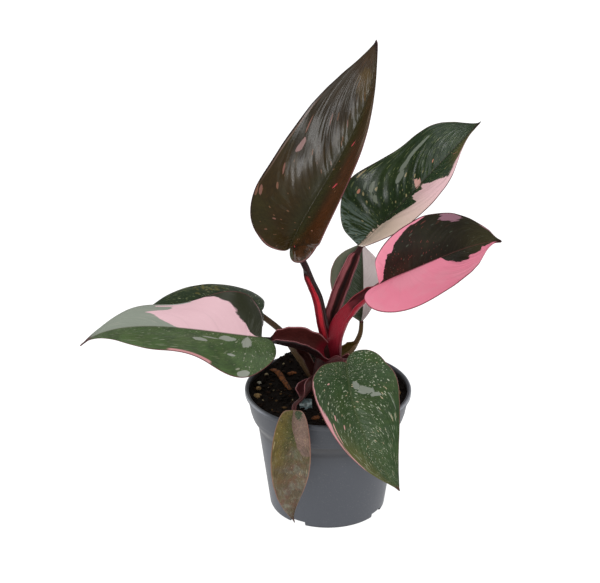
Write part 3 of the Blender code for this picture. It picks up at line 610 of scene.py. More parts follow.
def paint_top(paint):
    """Olive brown that turns red-brown on the right, with a few pink strokes and a painted sheen left of
    the midrib.
    """
    share, u, out = paint.share, paint.u, paint.out
    paint.layer(paint.cloud(0.03, 1.0) * 0.7, (50, 46, 19))
    paint.layer(out.between(0.35, 0.0) * 0.6, (46, 50, 24))
    paint.layer(paint.patch(-0.7, 0.62, 0.45, 0.2, 1.5) * 0.5, (26, 20, 10))
    paint.layer(share.between(0.12, 0.5) * u.between(0.72, 0.45) * 0.85, (40, 26, 14))
    paint.layer(share.between(0.2, 0.5) * u.between(0.18, 0.36) * u.between(0.72, 0.5) * 0.9, (74, 40, 16))
    paint.layer(paint.cloud(0.12, 3.0) * share.between(0.0, 0.3) * u.between(0.4, 0.2) * 0.35, (96, 54, 22))
    paint.layer(u.between(0.6, 0.85) * 0.5, (66, 46, 26))
    paint.layer(paint.patch(-0.3, 0.76, 0.3, 0.06, 2.0) * 0.5, (92, 72, 28))
    paint.layer(paint.patch(0.75, 0.06, 0.4, 0.05) * 0.8, (58, 64, 44))
    paint.grain(0.8)
    # painted sheen: pale grey streaks in a patch just left of the midrib
    painted_sheen_band = paint.vein_noise(0.5, 0.08, 12.0).above(0.0, 0.2) * paint.patch(-0.45, 0.42, 0.3, 0.08, 3.0)
    paint.layer(painted_sheen_band * 0.13, (110, 112, 100))
    spots = ((-0.8, 0.5), (-0.52, 0.565), (-0.73, 0.395), (-0.89, 0.33), (-0.5, 0.275), (-0.2, 0.61))
    paint.layer(paint.strokes(spots, 0.8, 3.0) * 0.8, (150, 104, 92))
    spots = ((-0.72, 0.232), (-0.97, 0.327), (0.12, 0.35), (-0.66, 0.36), (0.45, 0.3), (0.2, 0.2))
    paint.layer(paint.strokes(spots, 0.7, 2.8) * 0.8, (140, 98, 78))
    paint.layer(paint.strokes(((0.3, 0.59), (0.39, 0.454), (0.4, 0.14)), 1.3, 4.2), (214, 78, 90))
    paint.layer(paint.patch(-0.7, 0.458, 0.045, 0.02), (150, 116, 112))
    paint.layer(paint.dashes(0.6, 1.8, 0.14, 8.2) * 0.6, (150, 104, 76))
    paint.ribs((60, 52, 32), 0.4)
    mark_top_margins(paint, share, u)
    paint.edge((38, 20, 18), 0.02)
    paint.tip((44, 24, 20))
    paint.skin(0.9, 0.2)


def mark_top_margins(paint, share, u):
    """Stretches of the margins that are pinkish, and painted highlights on stretches that catch the light.
    """
    low_rim = share.below(-0.95, 0.02) * u.between(0.24, 0.16)
    right_rim = share.above(0.965, 0.015) * u.between(0.66, 0.6)
    paint.layer(low_rim.most(right_rim) * 0.8, (160, 104, 102))
    # painted highlights: a thin pale line along the left margin, and pale streaks near the right margin
    lit_rim = abs(share + 0.955).below(0.01, 0.012) * abs(u - 0.47).below(0.1, 0.05)
    paint.layer(lit_rim * 0.6, (150, 122, 112))
    painted_glint_rim = abs(share - 0.86).below(0.1, 0.06) * abs(u - 0.68).below(0.1, 0.06)
    paint.layer(painted_glint_rim * paint.vein_noise(1.4, 0.12, 8.0).above(0.0, 0.08) * 0.6, (150, 128, 112))


def paint_upper_right(paint):
    """Dark green with grey strokes and painted sheen streaks on the left basal lobe, and a cream to pink
    part with a ragged edge.
    """
    share, u = paint.share, paint.u
    paint.layer(paint.cloud(0.05, 1.0) * 0.6, (52, 70, 38))
    paint.layer(share.between(0.0, 0.5) * u.between(0.6, 0.8), (92, 84, 42))
    paint.grain(0.9)
    paint.layer(paint.dashes(0.45, 1.1, 0.75, 2.2) * 0.75, (112, 124, 80))
    paint.layer(paint.dashes(0.7, 1.8, 0.16, 6.2) * 0.8, (186, 172, 126))
    wide = ((-0.42, 0.447), (-0.56, 0.475), (-0.66, 0.512), (-0.71, 0.55))
    paint.layer(paint.strokes(wide, 3.6, 5.4) * 0.9, (132, 142, 128))
    thin = ((-0.32, 0.535), (-0.42, 0.575), (-0.5, 0.36), (-0.72, 0.36), (-0.74, 0.56))
    paint.layer(paint.strokes(thin, 0.8, 3.8) * 0.8, (118, 130, 112))
    paint.layer(paint.strokes(((-0.62, 0.372), (-0.42, 0.362)), 1.5, 5.6) * 0.85, (132, 142, 124))
    # painted sheen: grey-green streaks on the left basal lobe
    painted_sheen_streaks = paint.vein_noise(0.6, 0.05, 9.0).above(0.0, 0.08) * share.below(-0.1, 0.1)
    paint.layer(painted_sheen_streaks * u.between(0.36, 0.22) * 0.85, (118, 138, 128))
    cream = paint.past_share((
        (0.0, -0.1), (0.2, -0.04), (0.31, 0.0), (0.369, 0.27), (0.404, 0.46), (0.43, 0.54), (0.44, 0.27),
        (0.449, 0.12), (0.486, 0.22), (0.5, 0.09), (0.527, 0.4), (0.569, 0.71), (0.594, 0.86),
        (0.672, 0.84), (0.778, 0.9), (0.9, 0.95), (1.0, 0.98)), 0.34)
    paint.layer(cream, (238, 214, 194))
    paint.layer(cream * u.between(0.3, 0.52), (250, 206, 210))
    paint.layer(paint.patch(-0.08, 0.487, 0.11, 0.013, 3.0), (228, 178, 166))
    tan = ((-0.2, 0.58), (0.28, 0.71), (-0.73, 0.338), (0.4, 0.73))
    paint.layer(paint.strokes(tan, 1.1, 2.2), (210, 146, 118))
    paint.ribs((52, 44, 34), 0.6)
    paint.edge((84, 40, 42), 0.012)
    paint.tip((44, 30, 26), 0.95)
    paint.skin(1.0, 0.24)


def paint_right(paint):
    """One half dark brown-green with a pink margin, the other half strong pink."""
    share, u, out = paint.share, paint.u, paint.out
    paint.layer(paint.cloud(0.06, 1.0) * 0.6, (38, 38, 22))
    paint.layer(u.between(0.55, 0.8) * 0.7, (60, 56, 30))
    paint.layer(u.between(0.45, 0.25) * paint.cloud(0.08, 2.0) * 0.6, (58, 32, 24))
    paint.grain(0.9)
    paint.layer(paint.dashes(0.5, 1.3, 0.26, 4.4) * u.between(0.6, 0.4) * 0.7, (128, 66, 58))
    paint.layer(paint.dashes(0.9, 1.1, 0.2, 9.0) * 0.5, (92, 102, 86))
    brim = paint.curve(u, (
        (0.0, -0.3), (0.104, -0.27), (0.215, -0.52), (0.258, -0.7), (0.285, -0.65), (0.304, -0.77),
        (0.336, -0.86), (0.36, -0.93), (0.43, -0.95), (0.47, -1.05), (1.0, -1.1))) - share
    paint.layer((brim + paint.teeth * 0.2).above(0.0, 0.01), (252, 156, 178))
    paint.layer(paint.patch(-0.9, 0.565, 0.12, 0.055, 1.6), (150, 108, 122))
    paint.layer(share.below(-0.92, 0.02) * u.between(0.72, 0.76), (190, 140, 150))
    pink = paint.past_share((
        (0.0, -0.06), (0.3, -0.01), (0.505, 0.01), (0.512, 0.1), (0.56, 0.38), (0.617, 0.5),
        (0.651, 0.39), (0.7, 0.45), (0.748, 0.5), (0.776, 0.25), (0.8, 0.36), (0.857, 0.3), (0.9, 0.1),
        (1.0, -0.05)), u.between(0.46, 0.54) * 0.3)
    paint.layer(pink, (246, 142, 166))
    paint.layer(pink * paint.cloud(0.05, 4.0) * 0.4, (240, 160, 176))
    paint.ribs((120, 66, 62), 0.3, 0.35)
    paint.edge((74, 40, 38), 0.018)
    paint.layer(out.above(0.978, 0.01) * pink, (168, 70, 90))
    paint.tip((66, 32, 28), 0.93)
    paint.skin(0.7, 0.38)


def paint_back(paint):
    """Left half streaked green, right half almost white pink."""
    share = paint.share
    paint.grain(0.9)
    paint.layer(paint.vein_noise(1.2, 0.1, 1.0).above(0.05, 0.06) * 0.4, (134, 146, 132))
    paint.layer(share.below(-0.72, 0.12) * 0.6, (132, 130, 108))
    pale = paint.past_share(((0.0, 0.08), (0.5, 0.05), (1.0, 0.0)), 0.06)
    paint.layer(pale, (255, 238, 238))
    paint.layer(abs(share - 0.06).below(0.035, 0.02), (60, 66, 42))
    paint.ribs((70, 66, 50), 0.6)
    paint.edge((170, 120, 120), 0.014)
    paint.skin(0.6)


def paint_left_front(paint):
    """Near half green with pale specks; far half dark green, pale pink, then grey-green."""
    share, u, out = paint.share, paint.u, paint.out
    paint.layer(paint.cloud(0.12, 5.0) * 0.4, (50, 66, 40))
    paint.layer(paint.cloud(0.05, 1.0) * 0.5, (80, 98, 52))
    paint.grain(0.9)
    paint.layer(paint.dashes(0.4, 0.9, 0.8, 5.0) * 0.5, (124, 132, 100))
    paint.layer(paint.dashes(0.55, 1.3, 0.3, 6.6) * 0.75, (168, 170, 148))
    for spot in ((-0.19, 0.31, 0.15, 0.04), (-0.16, 0.396, 0.07, 0.02), (-0.35, 0.462, 0.06, 0.02),
                 (-0.93, 0.32, 0.06, 0.018), (-0.22, 0.44, 0.02, 0.02), (-0.58, 0.37, 0.03, 0.012)):
        paint.layer(paint.patch(*spot) * 0.9, (160, 164, 152))
    paint.layer(share.below(-0.92, 0.015) * u.above(0.41, 0.005) * u.below(0.53, 0.01), (224, 158, 160))
    far = paint.side
    paint.layer(far, (48, 52, 34))
    paint.layer(far * paint.dashes(0.7, 1.5, 0.2, 3.0) * 0.3, (90, 100, 80))
    paint.layer(far * out.above(0.95, 0.02) * u.below(0.3, 0.04) * 0.7, (166, 128, 130))
    pink = paint.past_u((
        (0.0, 0.03), (0.05, 0.2), (0.12, 0.279), (0.34, 0.364), (0.5, 0.379), (0.6, 0.382),
        (0.75, 0.408), (0.82, 0.428), (0.92, 0.437), (1.0, 0.47)), 0.03)
    paint.layer(far * pink, (250, 206, 214))
    grey = paint.past_u((
        (0.0, 0.53), (0.07, 0.551), (0.27, 0.583), (0.47, 0.607), (0.62, 0.635),
        (0.66, 0.56), (0.82, 0.55), (0.85, 0.6), (0.9, 0.6), (0.93, 0.5), (1.0, 0.5)), 0.03)
    paint.layer(far * grey, (150, 158, 144))
    paint.layer(far * grey * paint.dashes(0.9, 5.0, 0.4, 7.0) * 0.5, (176, 172, 160))
    paint.ribs((84, 84, 56), 0.5)
    paint.edge((104, 62, 58), 0.014)
    paint.tip((92, 52, 52), 0.9)
    paint.skin(0.6)


def paint_left_back(paint):
    """Green with small light specks."""
    paint.layer(paint.patch(0.85, 0.47, 0.24, 0.07, 4.0) * paint.cloud(0.3, 1.0) * 0.7, (112, 104, 48))
    paint.grain(0.9)
    paint.layer(paint.dashes(0.5, 1.1, 0.85, 5.0) * 0.6, (140, 148, 104))
    paint.layer(paint.dashes(0.9, 2.2, 0.12, 6.6) * 0.8, (176, 182, 150))
    paint.ribs((96, 92, 60), 0.4)
    paint.edge((70, 50, 40), 0.016)
    paint.skin(0.7)


def paint_right_front(paint):
    """Green with many fine pale strokes, a grey patch and a pink margin on the left."""
    share, u = paint.share, paint.u
    paint.layer(paint.cloud(0.05, 1.0) * 0.5, (66, 86, 42))
    paint.layer(u.between(0.4, 0.7) * share.above(-0.5, 0.3) * 0.5, (74, 94, 58))
    paint.layer(share.above(0.5, 0.3) * u.between(0.5, 0.7) * 0.8, (98, 98, 50))
    paint.grain(0.9)
    paint.layer(paint.dashes(0.4, 0.8, 0.9, 5.0) * 0.5, (124, 134, 104))
    paint.layer(paint.dashes(0.45, 1.2, 0.6, 9.0) * 0.9, (190, 196, 170))
    paint.layer(paint.dashes(0.6, 1.5, 0.14, 7.0), (196, 178, 146))
    for spot in ((-0.14, 0.38, 0.06, 0.02), (-0.32, 0.402, 0.17, 0.018), (-0.5, 0.426, 0.1, 0.01)):
        paint.layer(paint.patch(*spot, 2.4) * 0.9, (146, 152, 140))
    thin = ((-0.38, 0.475), (-0.52, 0.51), (-0.8, 0.44), (-0.86, 0.48), (-0.45, 0.13))
    paint.layer(paint.strokes(thin, 1.1, 3.6) * 0.4, (150, 158, 142))
    rim = paint.past_share((
        (0.0, 1.1), (0.29, 1.05), (0.32, 0.965), (0.4, 0.95), (0.47, 0.89), (0.52, 0.87),
        (0.56, 0.91), (0.62, 0.94), (0.74, 0.965), (0.8, 1.05), (1.0, 1.1)), 0.2)
    paint.layer(rim, (224, 160, 166))
    pink = ((0.83, 0.54), (0.86, 0.573), (0.52, 0.545), (0.53, 0.35), (0.66, 0.5))
    paint.layer(paint.strokes(pink, 1.5, 2.4), (226, 170, 164))
    paint.ribs((84, 96, 56), 0.35, 0.9)
    paint.edge((120, 84, 72), 0.014)
    paint.tip((96, 60, 46))
    paint.skin(0.7)


def paint_small_front(paint):
    """Olive green at the upper left, pinkish brown to the right, dull towards the tip."""
    share, u = paint.share, paint.u
    paint.layer(u.between(0.25, 0.5), (90, 76, 52))
    paint.layer(paint.cloud(0.16, 1.0, 0.45, 0.65) * u.between(0.3, 0.45) * 0.6, (122, 120, 106))
    paint.layer(paint.cloud(0.22, 6.0, 0.45, 0.62) * u.between(0.2, 0.6) * 0.6, (96, 58, 42))
    paint.layer(paint.cloud(0.2, 2.0, 0.45, 0.6) * u.between(0.6, 0.3) * 0.6, (62, 68, 30))
    paint.layer(share.above(0.45, 0.25) * u.between(0.65, 0.4) * 0.5, (112, 92, 36))
    strip = (paint.curve(share * 0.5 + 0.5, (
        (0.0, 0.36), (0.2, 0.385), (0.37, 0.359), (0.47, 0.286), (0.595, 0.174), (0.65, 0.0),
        (1.0, -0.1))) - u + paint.teeth * 0.03).above(0.0, 0.006)
    paint.layer(strip, (118, 94, 82))
    paint.layer(paint.patch(-0.7, 0.15, 0.3, 0.06, 2.0), (50, 64, 36))
    paint.grain(1.5)
    paint.layer(paint.dashes(0.4, 0.8, 0.7, 5.0) * 0.5, (156, 144, 106))
    paint.layer(paint.dashes(0.7, 1.4, 0.14, 7.0) * 0.7, (188, 168, 126))
    paint.edge((158, 112, 96), 0.05, 0.55)
    paint.tip((86, 46, 40), 0.92)
    paint.skin(0.8)


def paint_underside(name, ground):
    """Paler and duller than the upper side, with a raised midrib."""
    paint = LeafPaint(name, ground, 0.0, 0.3)
    paint.grain(0.4)
    paint.ribs((130, 84, 78), 0.7)
    paint.skin(0.5)
    return paint.done()


RIM_COLOUR = (110, 46, 50)
Look = namedtuple("Look", "layers ground specular underside")
LOOKS = {
    "top": Look(paint_top, (56, 42, 17), 0.3, (96, 52, 44)),
    "upper_right": Look(paint_upper_right, (37, 56, 32), 0.4, (92, 98, 72)),
    "right": Look(paint_right, (33, 28, 17), 0.2, (150, 84, 88)),
    "back": Look(paint_back, (56, 74, 48), 0.3, (120, 110, 92)),
    "left_front": Look(paint_left_front, (70, 93, 49), 0.35, (100, 104, 80)),
    "left_back": Look(paint_left_back, (34, 50, 24), 0.25, (92, 98, 72)),
    "right_front": Look(paint_right_front, (50, 73, 38), 0.3, (96, 102, 76)),
    "small_front": Look(paint_small_front, (78, 76, 28), 0.4, (110, 84, 68)),
}


def paint_leaf(place, look, seed):
    paint = LeafPaint("blade_" + place, look.ground, seed, look.specular)
    look.layers(paint)
    return paint.done()


# ================================================================ stalks
Station = namedtuple("Station", "at half_width height groove keel")
Stalk = namedtuple("Stalk", "route opening end_opening stations end_radius seat")
STALKS = {
    "right": Stalk(
        ((4, -5, 120), (5, -9, 138), (10, -12, 153), (19, -17, 166), (28, -24, 178)),
        (-0.3, -0.3, 0.2), (-0.5, -0.45, 0.7),
        ((0.0, 6.2, 2.0, 3.4, 5.0), (0.3, 6.6, 2.5, 3.0, 5.0), (0.5, 5.4, 2.5, 2.0, 4.2),
         (0.62, 4.8, 4.0, -0.8, 3.4), (0.8, 4.0, 3.2, -0.6, 2.6), (0.9, 2.4, 0.6, 1.4, 2.2)),
        2.0, 2.3),
    "left_front": Stalk(
        ((1, -6, 118), (-5, -9, 124), (-13, -11, 130), (-22, -13, 134), (-33, -15, 137)),
        (0.3, -0.5, 0.8), (0.0, -0.5, 0.86),
        ((0.0, 5.0, 3.0, 0.0, 2.6), (0.2, 7.0, 7.0, -1.0, 3.0), (0.42, 7.4, 10.0, -1.0, 3.2),
         (0.6, 7.2, 11.4, -0.8, 3.0), (0.76, 6.2, 10.6, -0.4, 2.6), (0.86, 4.6, 8.0, 0.2, 2.2),
         (0.905, 1.9, 0.6, 1.7, 1.9)),
        1.8, 2.8),
    "top": Stalk(
        ((1, -1, 126), (-3, -3, 142), (-7, -4, 164), (-13, -8, 181), (-18, -12, 196)),
        (-0.7, -0.65, 0.2), (-0.7, -0.6, 0.3),
        ((0.0, 4.6, 2.0, 0.4, 3.4), (0.2, 4.4, 2.4, 0.0, 3.4), (0.4, 4.2, 2.2, -0.3, 3.2),
         (0.6, 3.7, 2.0, 0.2, 2.9), (0.74, 2.9, 0.6, 1.8, 2.7)),
        2.3, 2.5),
    "upper_right": Stalk(
        ((2, 3, 124), (3, 6, 145), (6, 8, 155), (11, 12, 168), (19, 17, 187)),
        (-0.4, -0.85, 0.2), (-0.3, -0.85, 0.3),
        ((0.0, 5.0, 3.0, 0.0, 3.4), (0.3, 5.4, 4.6, -0.8, 3.2), (0.6, 5.6, 5.4, -1.0, 3.0),
         (0.78, 4.6, 4.6, -0.6, 2.6), (0.88, 2.2, 1.0, 1.2, 2.0)),
        1.7, 2.4),
    "right_front": Stalk(
        ((1, -3, 111), (5, -13, 118), (11, -23, 126), (12, -32, 130)),
        (0.2, -0.2, 0.95), (0.0, 0.1, 1.0),
        ((0.0, 6.0, 3.0, 0.0, 3.0), (0.25, 6.4, 4.4, -0.8, 3.0), (0.45, 5.2, 4.8, -0.6, 2.6),
         (0.58, 2.4, 1.2, 1.2, 2.2)),
        1.9, 2.3),
    "back": Stalk(
        ((6, 3, 114), (12, 8, 115), (18, 12, 119), (23, 17, 127)),
        (-0.5, -0.4, 0.7), (-0.6, -0.6, 0.5),
        ((0.0, 4.4, 3.0, 0.0, 2.6), (0.25, 4.8, 5.0, -0.6, 2.4), (0.5, 3.8, 4.6, -0.2, 2.2),
         (0.62, 2.0, 0.6, 1.4, 2.0)),
        1.7, 1.9),
    "left_back": Stalk(
        ((-6, 2, 94), (-12, 5, 101), (-18, 7, 110), (-26, 9, 121), (-34, 13, 132)),
        (0.3, -0.3, 0.8), (0.3, -0.2, 0.95),
        ((0.0, 5.0, 3.0, 0.0, 3.2), (0.25, 5.4, 4.0, -0.8, 3.0), (0.5, 4.8, 5.0, -0.8, 2.9),
         (0.66, 4.2, 6.0, -0.2, 2.6), (0.76, 2.5, 0.6, 1.9, 2.5)),
        2.2, 3.0),
    "small_front": Stalk(
        ((-7, -3, 99), (-12, -9, 99), (-16, -20, 99), (-20, -33, 100), (-24, -45, 102)),
        (-0.7, 0.1, 0.7), (-0.2, -0.1, 1.0),
        ((0.0, 3.4, 2.4, 0.2, 2.2), (0.16, 5.0, 6.0, -0.6, 2.2), (0.32, 5.2, 7.2, -0.6, 2.1),
         (0.46, 4.0, 7.0, 0.0, 2.0), (0.54, 1.9, 0.6, 1.4, 1.8)),
        1.6, 2.4),
}
STALK_STEPS = 72
STALK_POINTS = 15              # points on the outer and on the inner side of a section
WING_RIM = 0.55                # thickness of a wing's edge
WING_LEAN = 0.4                # how far the sheath's wings wander sideways
WING_CURL = 0.6                # and how far their rims wander up and down
SEAT_RISE = 0.7                # a stalk's end lies this much nearer its blade than the solid's
SEAT_REACH = 2.5               # and this far past the base of the midrib


def station_at(stations, t):
    """The section's measures at t, eased between the two stations around it."""
    if t <= stations[0].at:
        return stations[0]
    for a, b in zip(stations, stations[1:]):
        if t <= b.at:
            share = ease((t - a.at) / (b.at - a.at))
            return Station(t, *(blend(u, v, share) for u, v in zip(a[1:], b[1:])))
    return stations[-1]


def stalk_seat(leaf, depth):
    """Where a stalk ends, in the underside of its blade."""
    along = (Vector(leaf.rise) - Vector(leaf.base)).normalized()
    up = square_to(along, Vector(leaf.face))
    return Vector(leaf.base) - up * (depth - SEAT_RISE) + along * SEAT_REACH


def section(station, centre, across, normal, seed):
    """Points and places of one section: its outer side, then its inner side, wing to wing."""
    sheath = step(station.height - station.groove, 0.5, 3.0)
    points, where = [], []
    for inside in (0, 1):
        half = station.half_width - inside * WING_RIM
        bottom = station.groove if inside else -station.keel
        for corner in range(STALK_POINTS):
            angle = math.pi * corner / (STALK_POINTS - 1)
            wing = abs(math.cos(angle))
            lean = sheath * noise.noise(centre / 6 + Vector((seed, math.cos(angle) * 2, 0)))
            side = half * math.cos(angle) + lean * WING_LEAN * wing
            rise = station.height - (station.height - bottom) * math.sin(angle)
            rise += wing ** 3 * WING_CURL * lean
            points.append(centre + across * side + normal * rise)
            where.append((station.at, math.cos(angle), inside * sheath))
    return points, where


def stalk_faces():
    """The outer side, the inner side and the wing rims between the sections, and both ends."""
    last = STALK_POINTS - 1
    sides = [range(first, first + STALK_POINTS)
             for first in range(0, 2 * STALK_POINTS * (STALK_STEPS + 1), STALK_POINTS)]
    rings = list(zip(sides[0::2], sides[1::2]))
    faces = []
    for (outer, inner), (next_outer, next_inner) in zip(rings, rings[1:]):
        for a in range(last):
            b = a + 1
            faces.append((outer[a], next_outer[a], next_outer[b], outer[b]))
            faces.append((inner[a], inner[b], next_inner[b], next_inner[a]))
        faces.append((outer[0], inner[0], next_inner[0], next_outer[0]))
        faces.append((outer[last], next_outer[last], next_inner[last], inner[last]))
    for (outer, inner), turn in ((rings[0], 1), (rings[-1], -1)):
        for a in range(last):
            faces.append((outer[a], outer[a + 1], inner[a + 1], inner[a])[::turn])
    return faces


def make_stalk(place, stalk, seed, material):
    """A loft along the route: a sheath at the stem that narrows to a round stalk."""
    route = [Vector(point) for point in stalk.route] + [stalk_seat(LEAVES[place], stalk.seat)]
    stations = [Station(*measures) for measures in stalk.stations]
    stations.append(Station(1.0, stalk.end_radius, 0.0, stalk.end_radius, stalk.end_radius))
    points, where = [], []
    for index in range(STALK_STEPS + 1):
        t = index / STALK_STEPS
        centre, direction = smooth_curve(route, t)
        normal = square_to(direction, Vector(stalk.opening).lerp(Vector(stalk.end_opening), t))
        station = station_at(stations, t)._replace(at=t)
        more_points, more_where = section(station, centre, direction.cross(normal), normal, seed)
        points += more_points
        where += more_where
    piece = piece_from("petiole_" + place, points, stalk_faces(), (("stalk", where),))
    stands_for(piece, "stalk_" + place, [material])


BAND_SOFTNESS = (0.1, 0.06)    # across and along a stalk
PALE_RIM = (196, 130, 134)
DEEP_RED = (96, 18, 30)
BLACK_RED = (40, 17, 17)
Skin = namedtuple("Skin", "outer inner rim low bands")
# a band is (first side, last side, first t, last t, colour) and lies in the groove; some bands are painted
# shade deep in a groove, some painted light on the lit inside of a wing
SKINS = {
    # right: its second band is painted shade in the groove near the top
    "right": Skin((148, 32, 47), (70, 22, 26), (160, 64, 72), DEEP_RED, (
        (-0.9, -0.2, 0.3, 0.62, (110, 30, 40)), (-0.1, 0.4, 0.62, 0.95, (46, 20, 18)))),
    "left_front": Skin((24, 10, 10), (92, 42, 39), PALE_RIM, DEEP_RED, (
        (-0.95, 0.1, 0.2, 0.8, (112, 56, 50)), (-0.3, 0.95, 0.05, 0.3, (130, 32, 44)))),
    "top": Skin((38, 17, 15), (140, 28, 42), (120, 50, 54), DEEP_RED, (
        (-0.75, 0.0, 0.1, 0.66, (222, 50, 64)),)),
    # upper_right: its first and third bands are painted light on the lit insides of the wings, its second
    # band is painted shade in the groove
    "upper_right": Skin((66, 34, 34), (74, 36, 34), PALE_RIM, BLACK_RED, (
        (-0.95, -0.5, 0.2, 0.9, (196, 116, 122)), (-0.3, 0.1, 0.1, 0.9, (40, 19, 18)),
        (0.55, 0.9, 0.2, 0.85, (170, 100, 106)))),
    "right_front": Skin((74, 32, 34), (70, 30, 32), PALE_RIM, BLACK_RED, ()),
    "back": Skin((98, 76, 46), (96, 82, 30), (136, 104, 82), (90, 56, 34), ()),
    "left_back": Skin((80, 62, 42), (66, 30, 28), (110, 66, 60), (46, 20, 20), ()),
    "small_front": Skin((84, 48, 46), (88, 44, 46), PALE_RIM, BLACK_RED, ()),
}


def paint_stalk(place, skin, seed):
    """A waxy skin: one colour outside, one in the groove, a rim, and a colour low on the stalk."""
    paint = Paint("petiole_" + place, skin.outer, 0.4, 0.15)
    t, side, inside = paint.attribute("stalk").split()
    wander = paint.point(t * 7.0, side * 1.5, seed + 3.0).noise(1.0, 2.0) * 0.3 - 0.15
    paint.layer(t.between(0.35, 0.0), skin.low)
    paint.layer(inside * 0.95, skin.inner)
    across_soft, along_soft = BAND_SOFTNESS
    # some bands are painted shade deep in a groove, some painted light on the lit inside of a wing
    for first, last, start, end, colour in skin.bands:
        across = (side + wander).above(first, across_soft) * (side + wander).below(last, across_soft)
        along = t.above(start, along_soft) * t.below(end, along_soft)
        paint.layer(across * along * inside, colour)
    streaks = paint.point(t * 9.0, side * 8.0, seed).noise(1.0, 3.0, 0.6)
    paint.tone(streaks * 0.9 + 0.55)
    paint.layer(abs(side).above(0.994, 0.004) * inside.most(0.15), skin.rim)
    paint.relief(paint.point(t * 22.0, side * 16.0, seed).noise(1.0, 2.0), 0.3)
    return paint.done()


# ================================================================ pot
POT_LOW, POT_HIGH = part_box("nursery_pot")
RIM_RADIUS = POT_HIGH.x / MM
POT_HEIGHT = POT_HIGH.z / MM
LIP_HEIGHT = 3.6
LIP_OVERHANG = 1.6
COLLAR_RADIUS = 55.8
COLLAR_BOTTOM = 76.0
STEP_RADIUS = 50.5
STEP_BOTTOM = 64.0
STEP_BENDS = 8                 # straight pieces of the curve from the collar in to the step
BASE_RADIUS = 42.0
WALL = 1.3
FLOOR = 1.5
FOOT_HEIGHT = 3.5
FOOT_RING_INNER = 35.0
CENTRE_PAD_RADIUS = 14.0
FLOOR_TOP = FOOT_HEIGHT + FLOOR
POT_SIDES = 160
NOTCH_WIDTH = 13.0
NOTCH_REACH = 14.0
NOTCH_COUNT = 4
NOTCH_FIRST_ANGLE = 58.0
DRAIN_HOLES = 8
DRAIN_HOLE_RADIUS = 4.0
DRAIN_CIRCLE = 24.5
SHARP_ANGLE = math.radians(40)


def turned(name, profile, sides):
    """A profile of (radius, height) points in mm, turned about the Z axis."""
    mesh = bpy.data.meshes.new(name)
    edges = [(index, index + 1) for index in range(len(profile) - 1)]
    mesh.from_pydata([(r * MM, 0, z * MM) for r, z in profile], edges, [])
    piece = linked(name, mesh)
    screw = piece.modifiers.new("turn", "SCREW")
    screw.steps = screw.render_steps = sides
    screw.use_merge_vertices = True
    screw.merge_threshold = MERGE_DISTANCE
    return piece


def settle(piece):
    """Fix the piece's modifiers in its mesh."""
    depsgraph = bpy.context.evaluated_depsgraph_get()
    mesh = bpy.data.meshes.new_from_object(piece.evaluated_get(depsgraph))
    piece.modifiers.clear()
    piece.data = mesh


def wall_profile(inset):
    """The outside of the pot's wall from the lip down to the step, moved in by the inset.

    The small numbers round the corners.
    """
    under_lip, lip_bottom = RIM_RADIUS - LIP_OVERHANG, POT_HEIGHT - LIP_HEIGHT
    points = [(under_lip, lip_bottom + 0.2), (under_lip - 0.1, lip_bottom - 0.6),
              (RIM_RADIUS - 2.6, lip_bottom - 5), (COLLAR_RADIUS + 0.25, COLLAR_BOTTOM + 1.2),
              (COLLAR_RADIUS, COLLAR_BOTTOM + 0.3), (COLLAR_RADIUS - 0.35, COLLAR_BOTTOM - 0.2)]
    for bend in range(STEP_BENDS + 1):
        t = bend / STEP_BENDS
        points.append((blend(COLLAR_RADIUS - 0.5, STEP_RADIUS, ease(t)),
                       blend(COLLAR_BOTTOM - 0.6, STEP_BOTTOM, t)))
    points.append((STEP_RADIUS - 0.35, STEP_BOTTOM - 2.5))
    return [(radius - inset, height) for radius, height in points]


def pot_profile():
    """Half of the pot's section: up the inside, over the lip, down the outside and under the foot."""
    inner = RIM_RADIUS - LIP_OVERHANG - WALL
    lip_bottom = POT_HEIGHT - LIP_HEIGHT
    inside = [(0, FLOOR_TOP), (BASE_RADIUS - WALL - 1.5, FLOOR_TOP),
              (BASE_RADIUS - WALL + 0.2, FLOOR_TOP + 2)]
    lip = [(inner, POT_HEIGHT - 1.0), (inner + 0.25, POT_HEIGHT - 0.3), (inner + 0.9, POT_HEIGHT),
           (RIM_RADIUS - 0.9, POT_HEIGHT), (RIM_RADIUS - 0.25, POT_HEIGHT - 0.25),
           (RIM_RADIUS, POT_HEIGHT - 0.9), (RIM_RADIUS - 0.1, lip_bottom + 0.7),
           (RIM_RADIUS - 0.5, lip_bottom + 0.1), (RIM_RADIUS - 1.1, lip_bottom)]
    foot = [(BASE_RADIUS + 0.35, 3.0), (BASE_RADIUS + 0.1, 1.4), (BASE_RADIUS - 0.4, 0.4),
            (BASE_RADIUS - 1.2, 0), (FOOT_RING_INNER, 0), (FOOT_RING_INNER - 0.5, FOOT_HEIGHT),
            (CENTRE_PAD_RADIUS + 0.5, FOOT_HEIGHT), (CENTRE_PAD_RADIUS, 0), (0, 0)]
    return inside + wall_profile(WALL)[::-1] + lip + wall_profile(0) + foot


def foot_notch(number):
    """A block that cuts one notch through the foot ring."""
    angle = math.radians(NOTCH_FIRST_ANGLE + 360 / NOTCH_COUNT * number)
    reach = FOOT_RING_INNER + 6
    bpy.ops.mesh.primitive_cube_add(size=1)
    cutter = bpy.context.object
    cutter.scale = (NOTCH_REACH * MM, NOTCH_WIDTH * MM, 2 * FOOT_HEIGHT * MM)
    cutter.location = (reach * math.cos(angle) * MM, reach * math.sin(angle) * MM, 0)
    cutter.rotation_euler.z = angle
    return cutter


def drain_hole(number):
    angle = 2 * math.pi * (number + 0.5) / DRAIN_HOLES
    place = (DRAIN_CIRCLE * math.cos(angle) * MM, DRAIN_CIRCLE * math.sin(angle) * MM, 0)
    bpy.ops.mesh.primitive_cylinder_add(
        vertices=32, radius=DRAIN_HOLE_RADIUS * MM, depth=4 * FLOOR_TOP * MM, location=place)
    return bpy.context.object


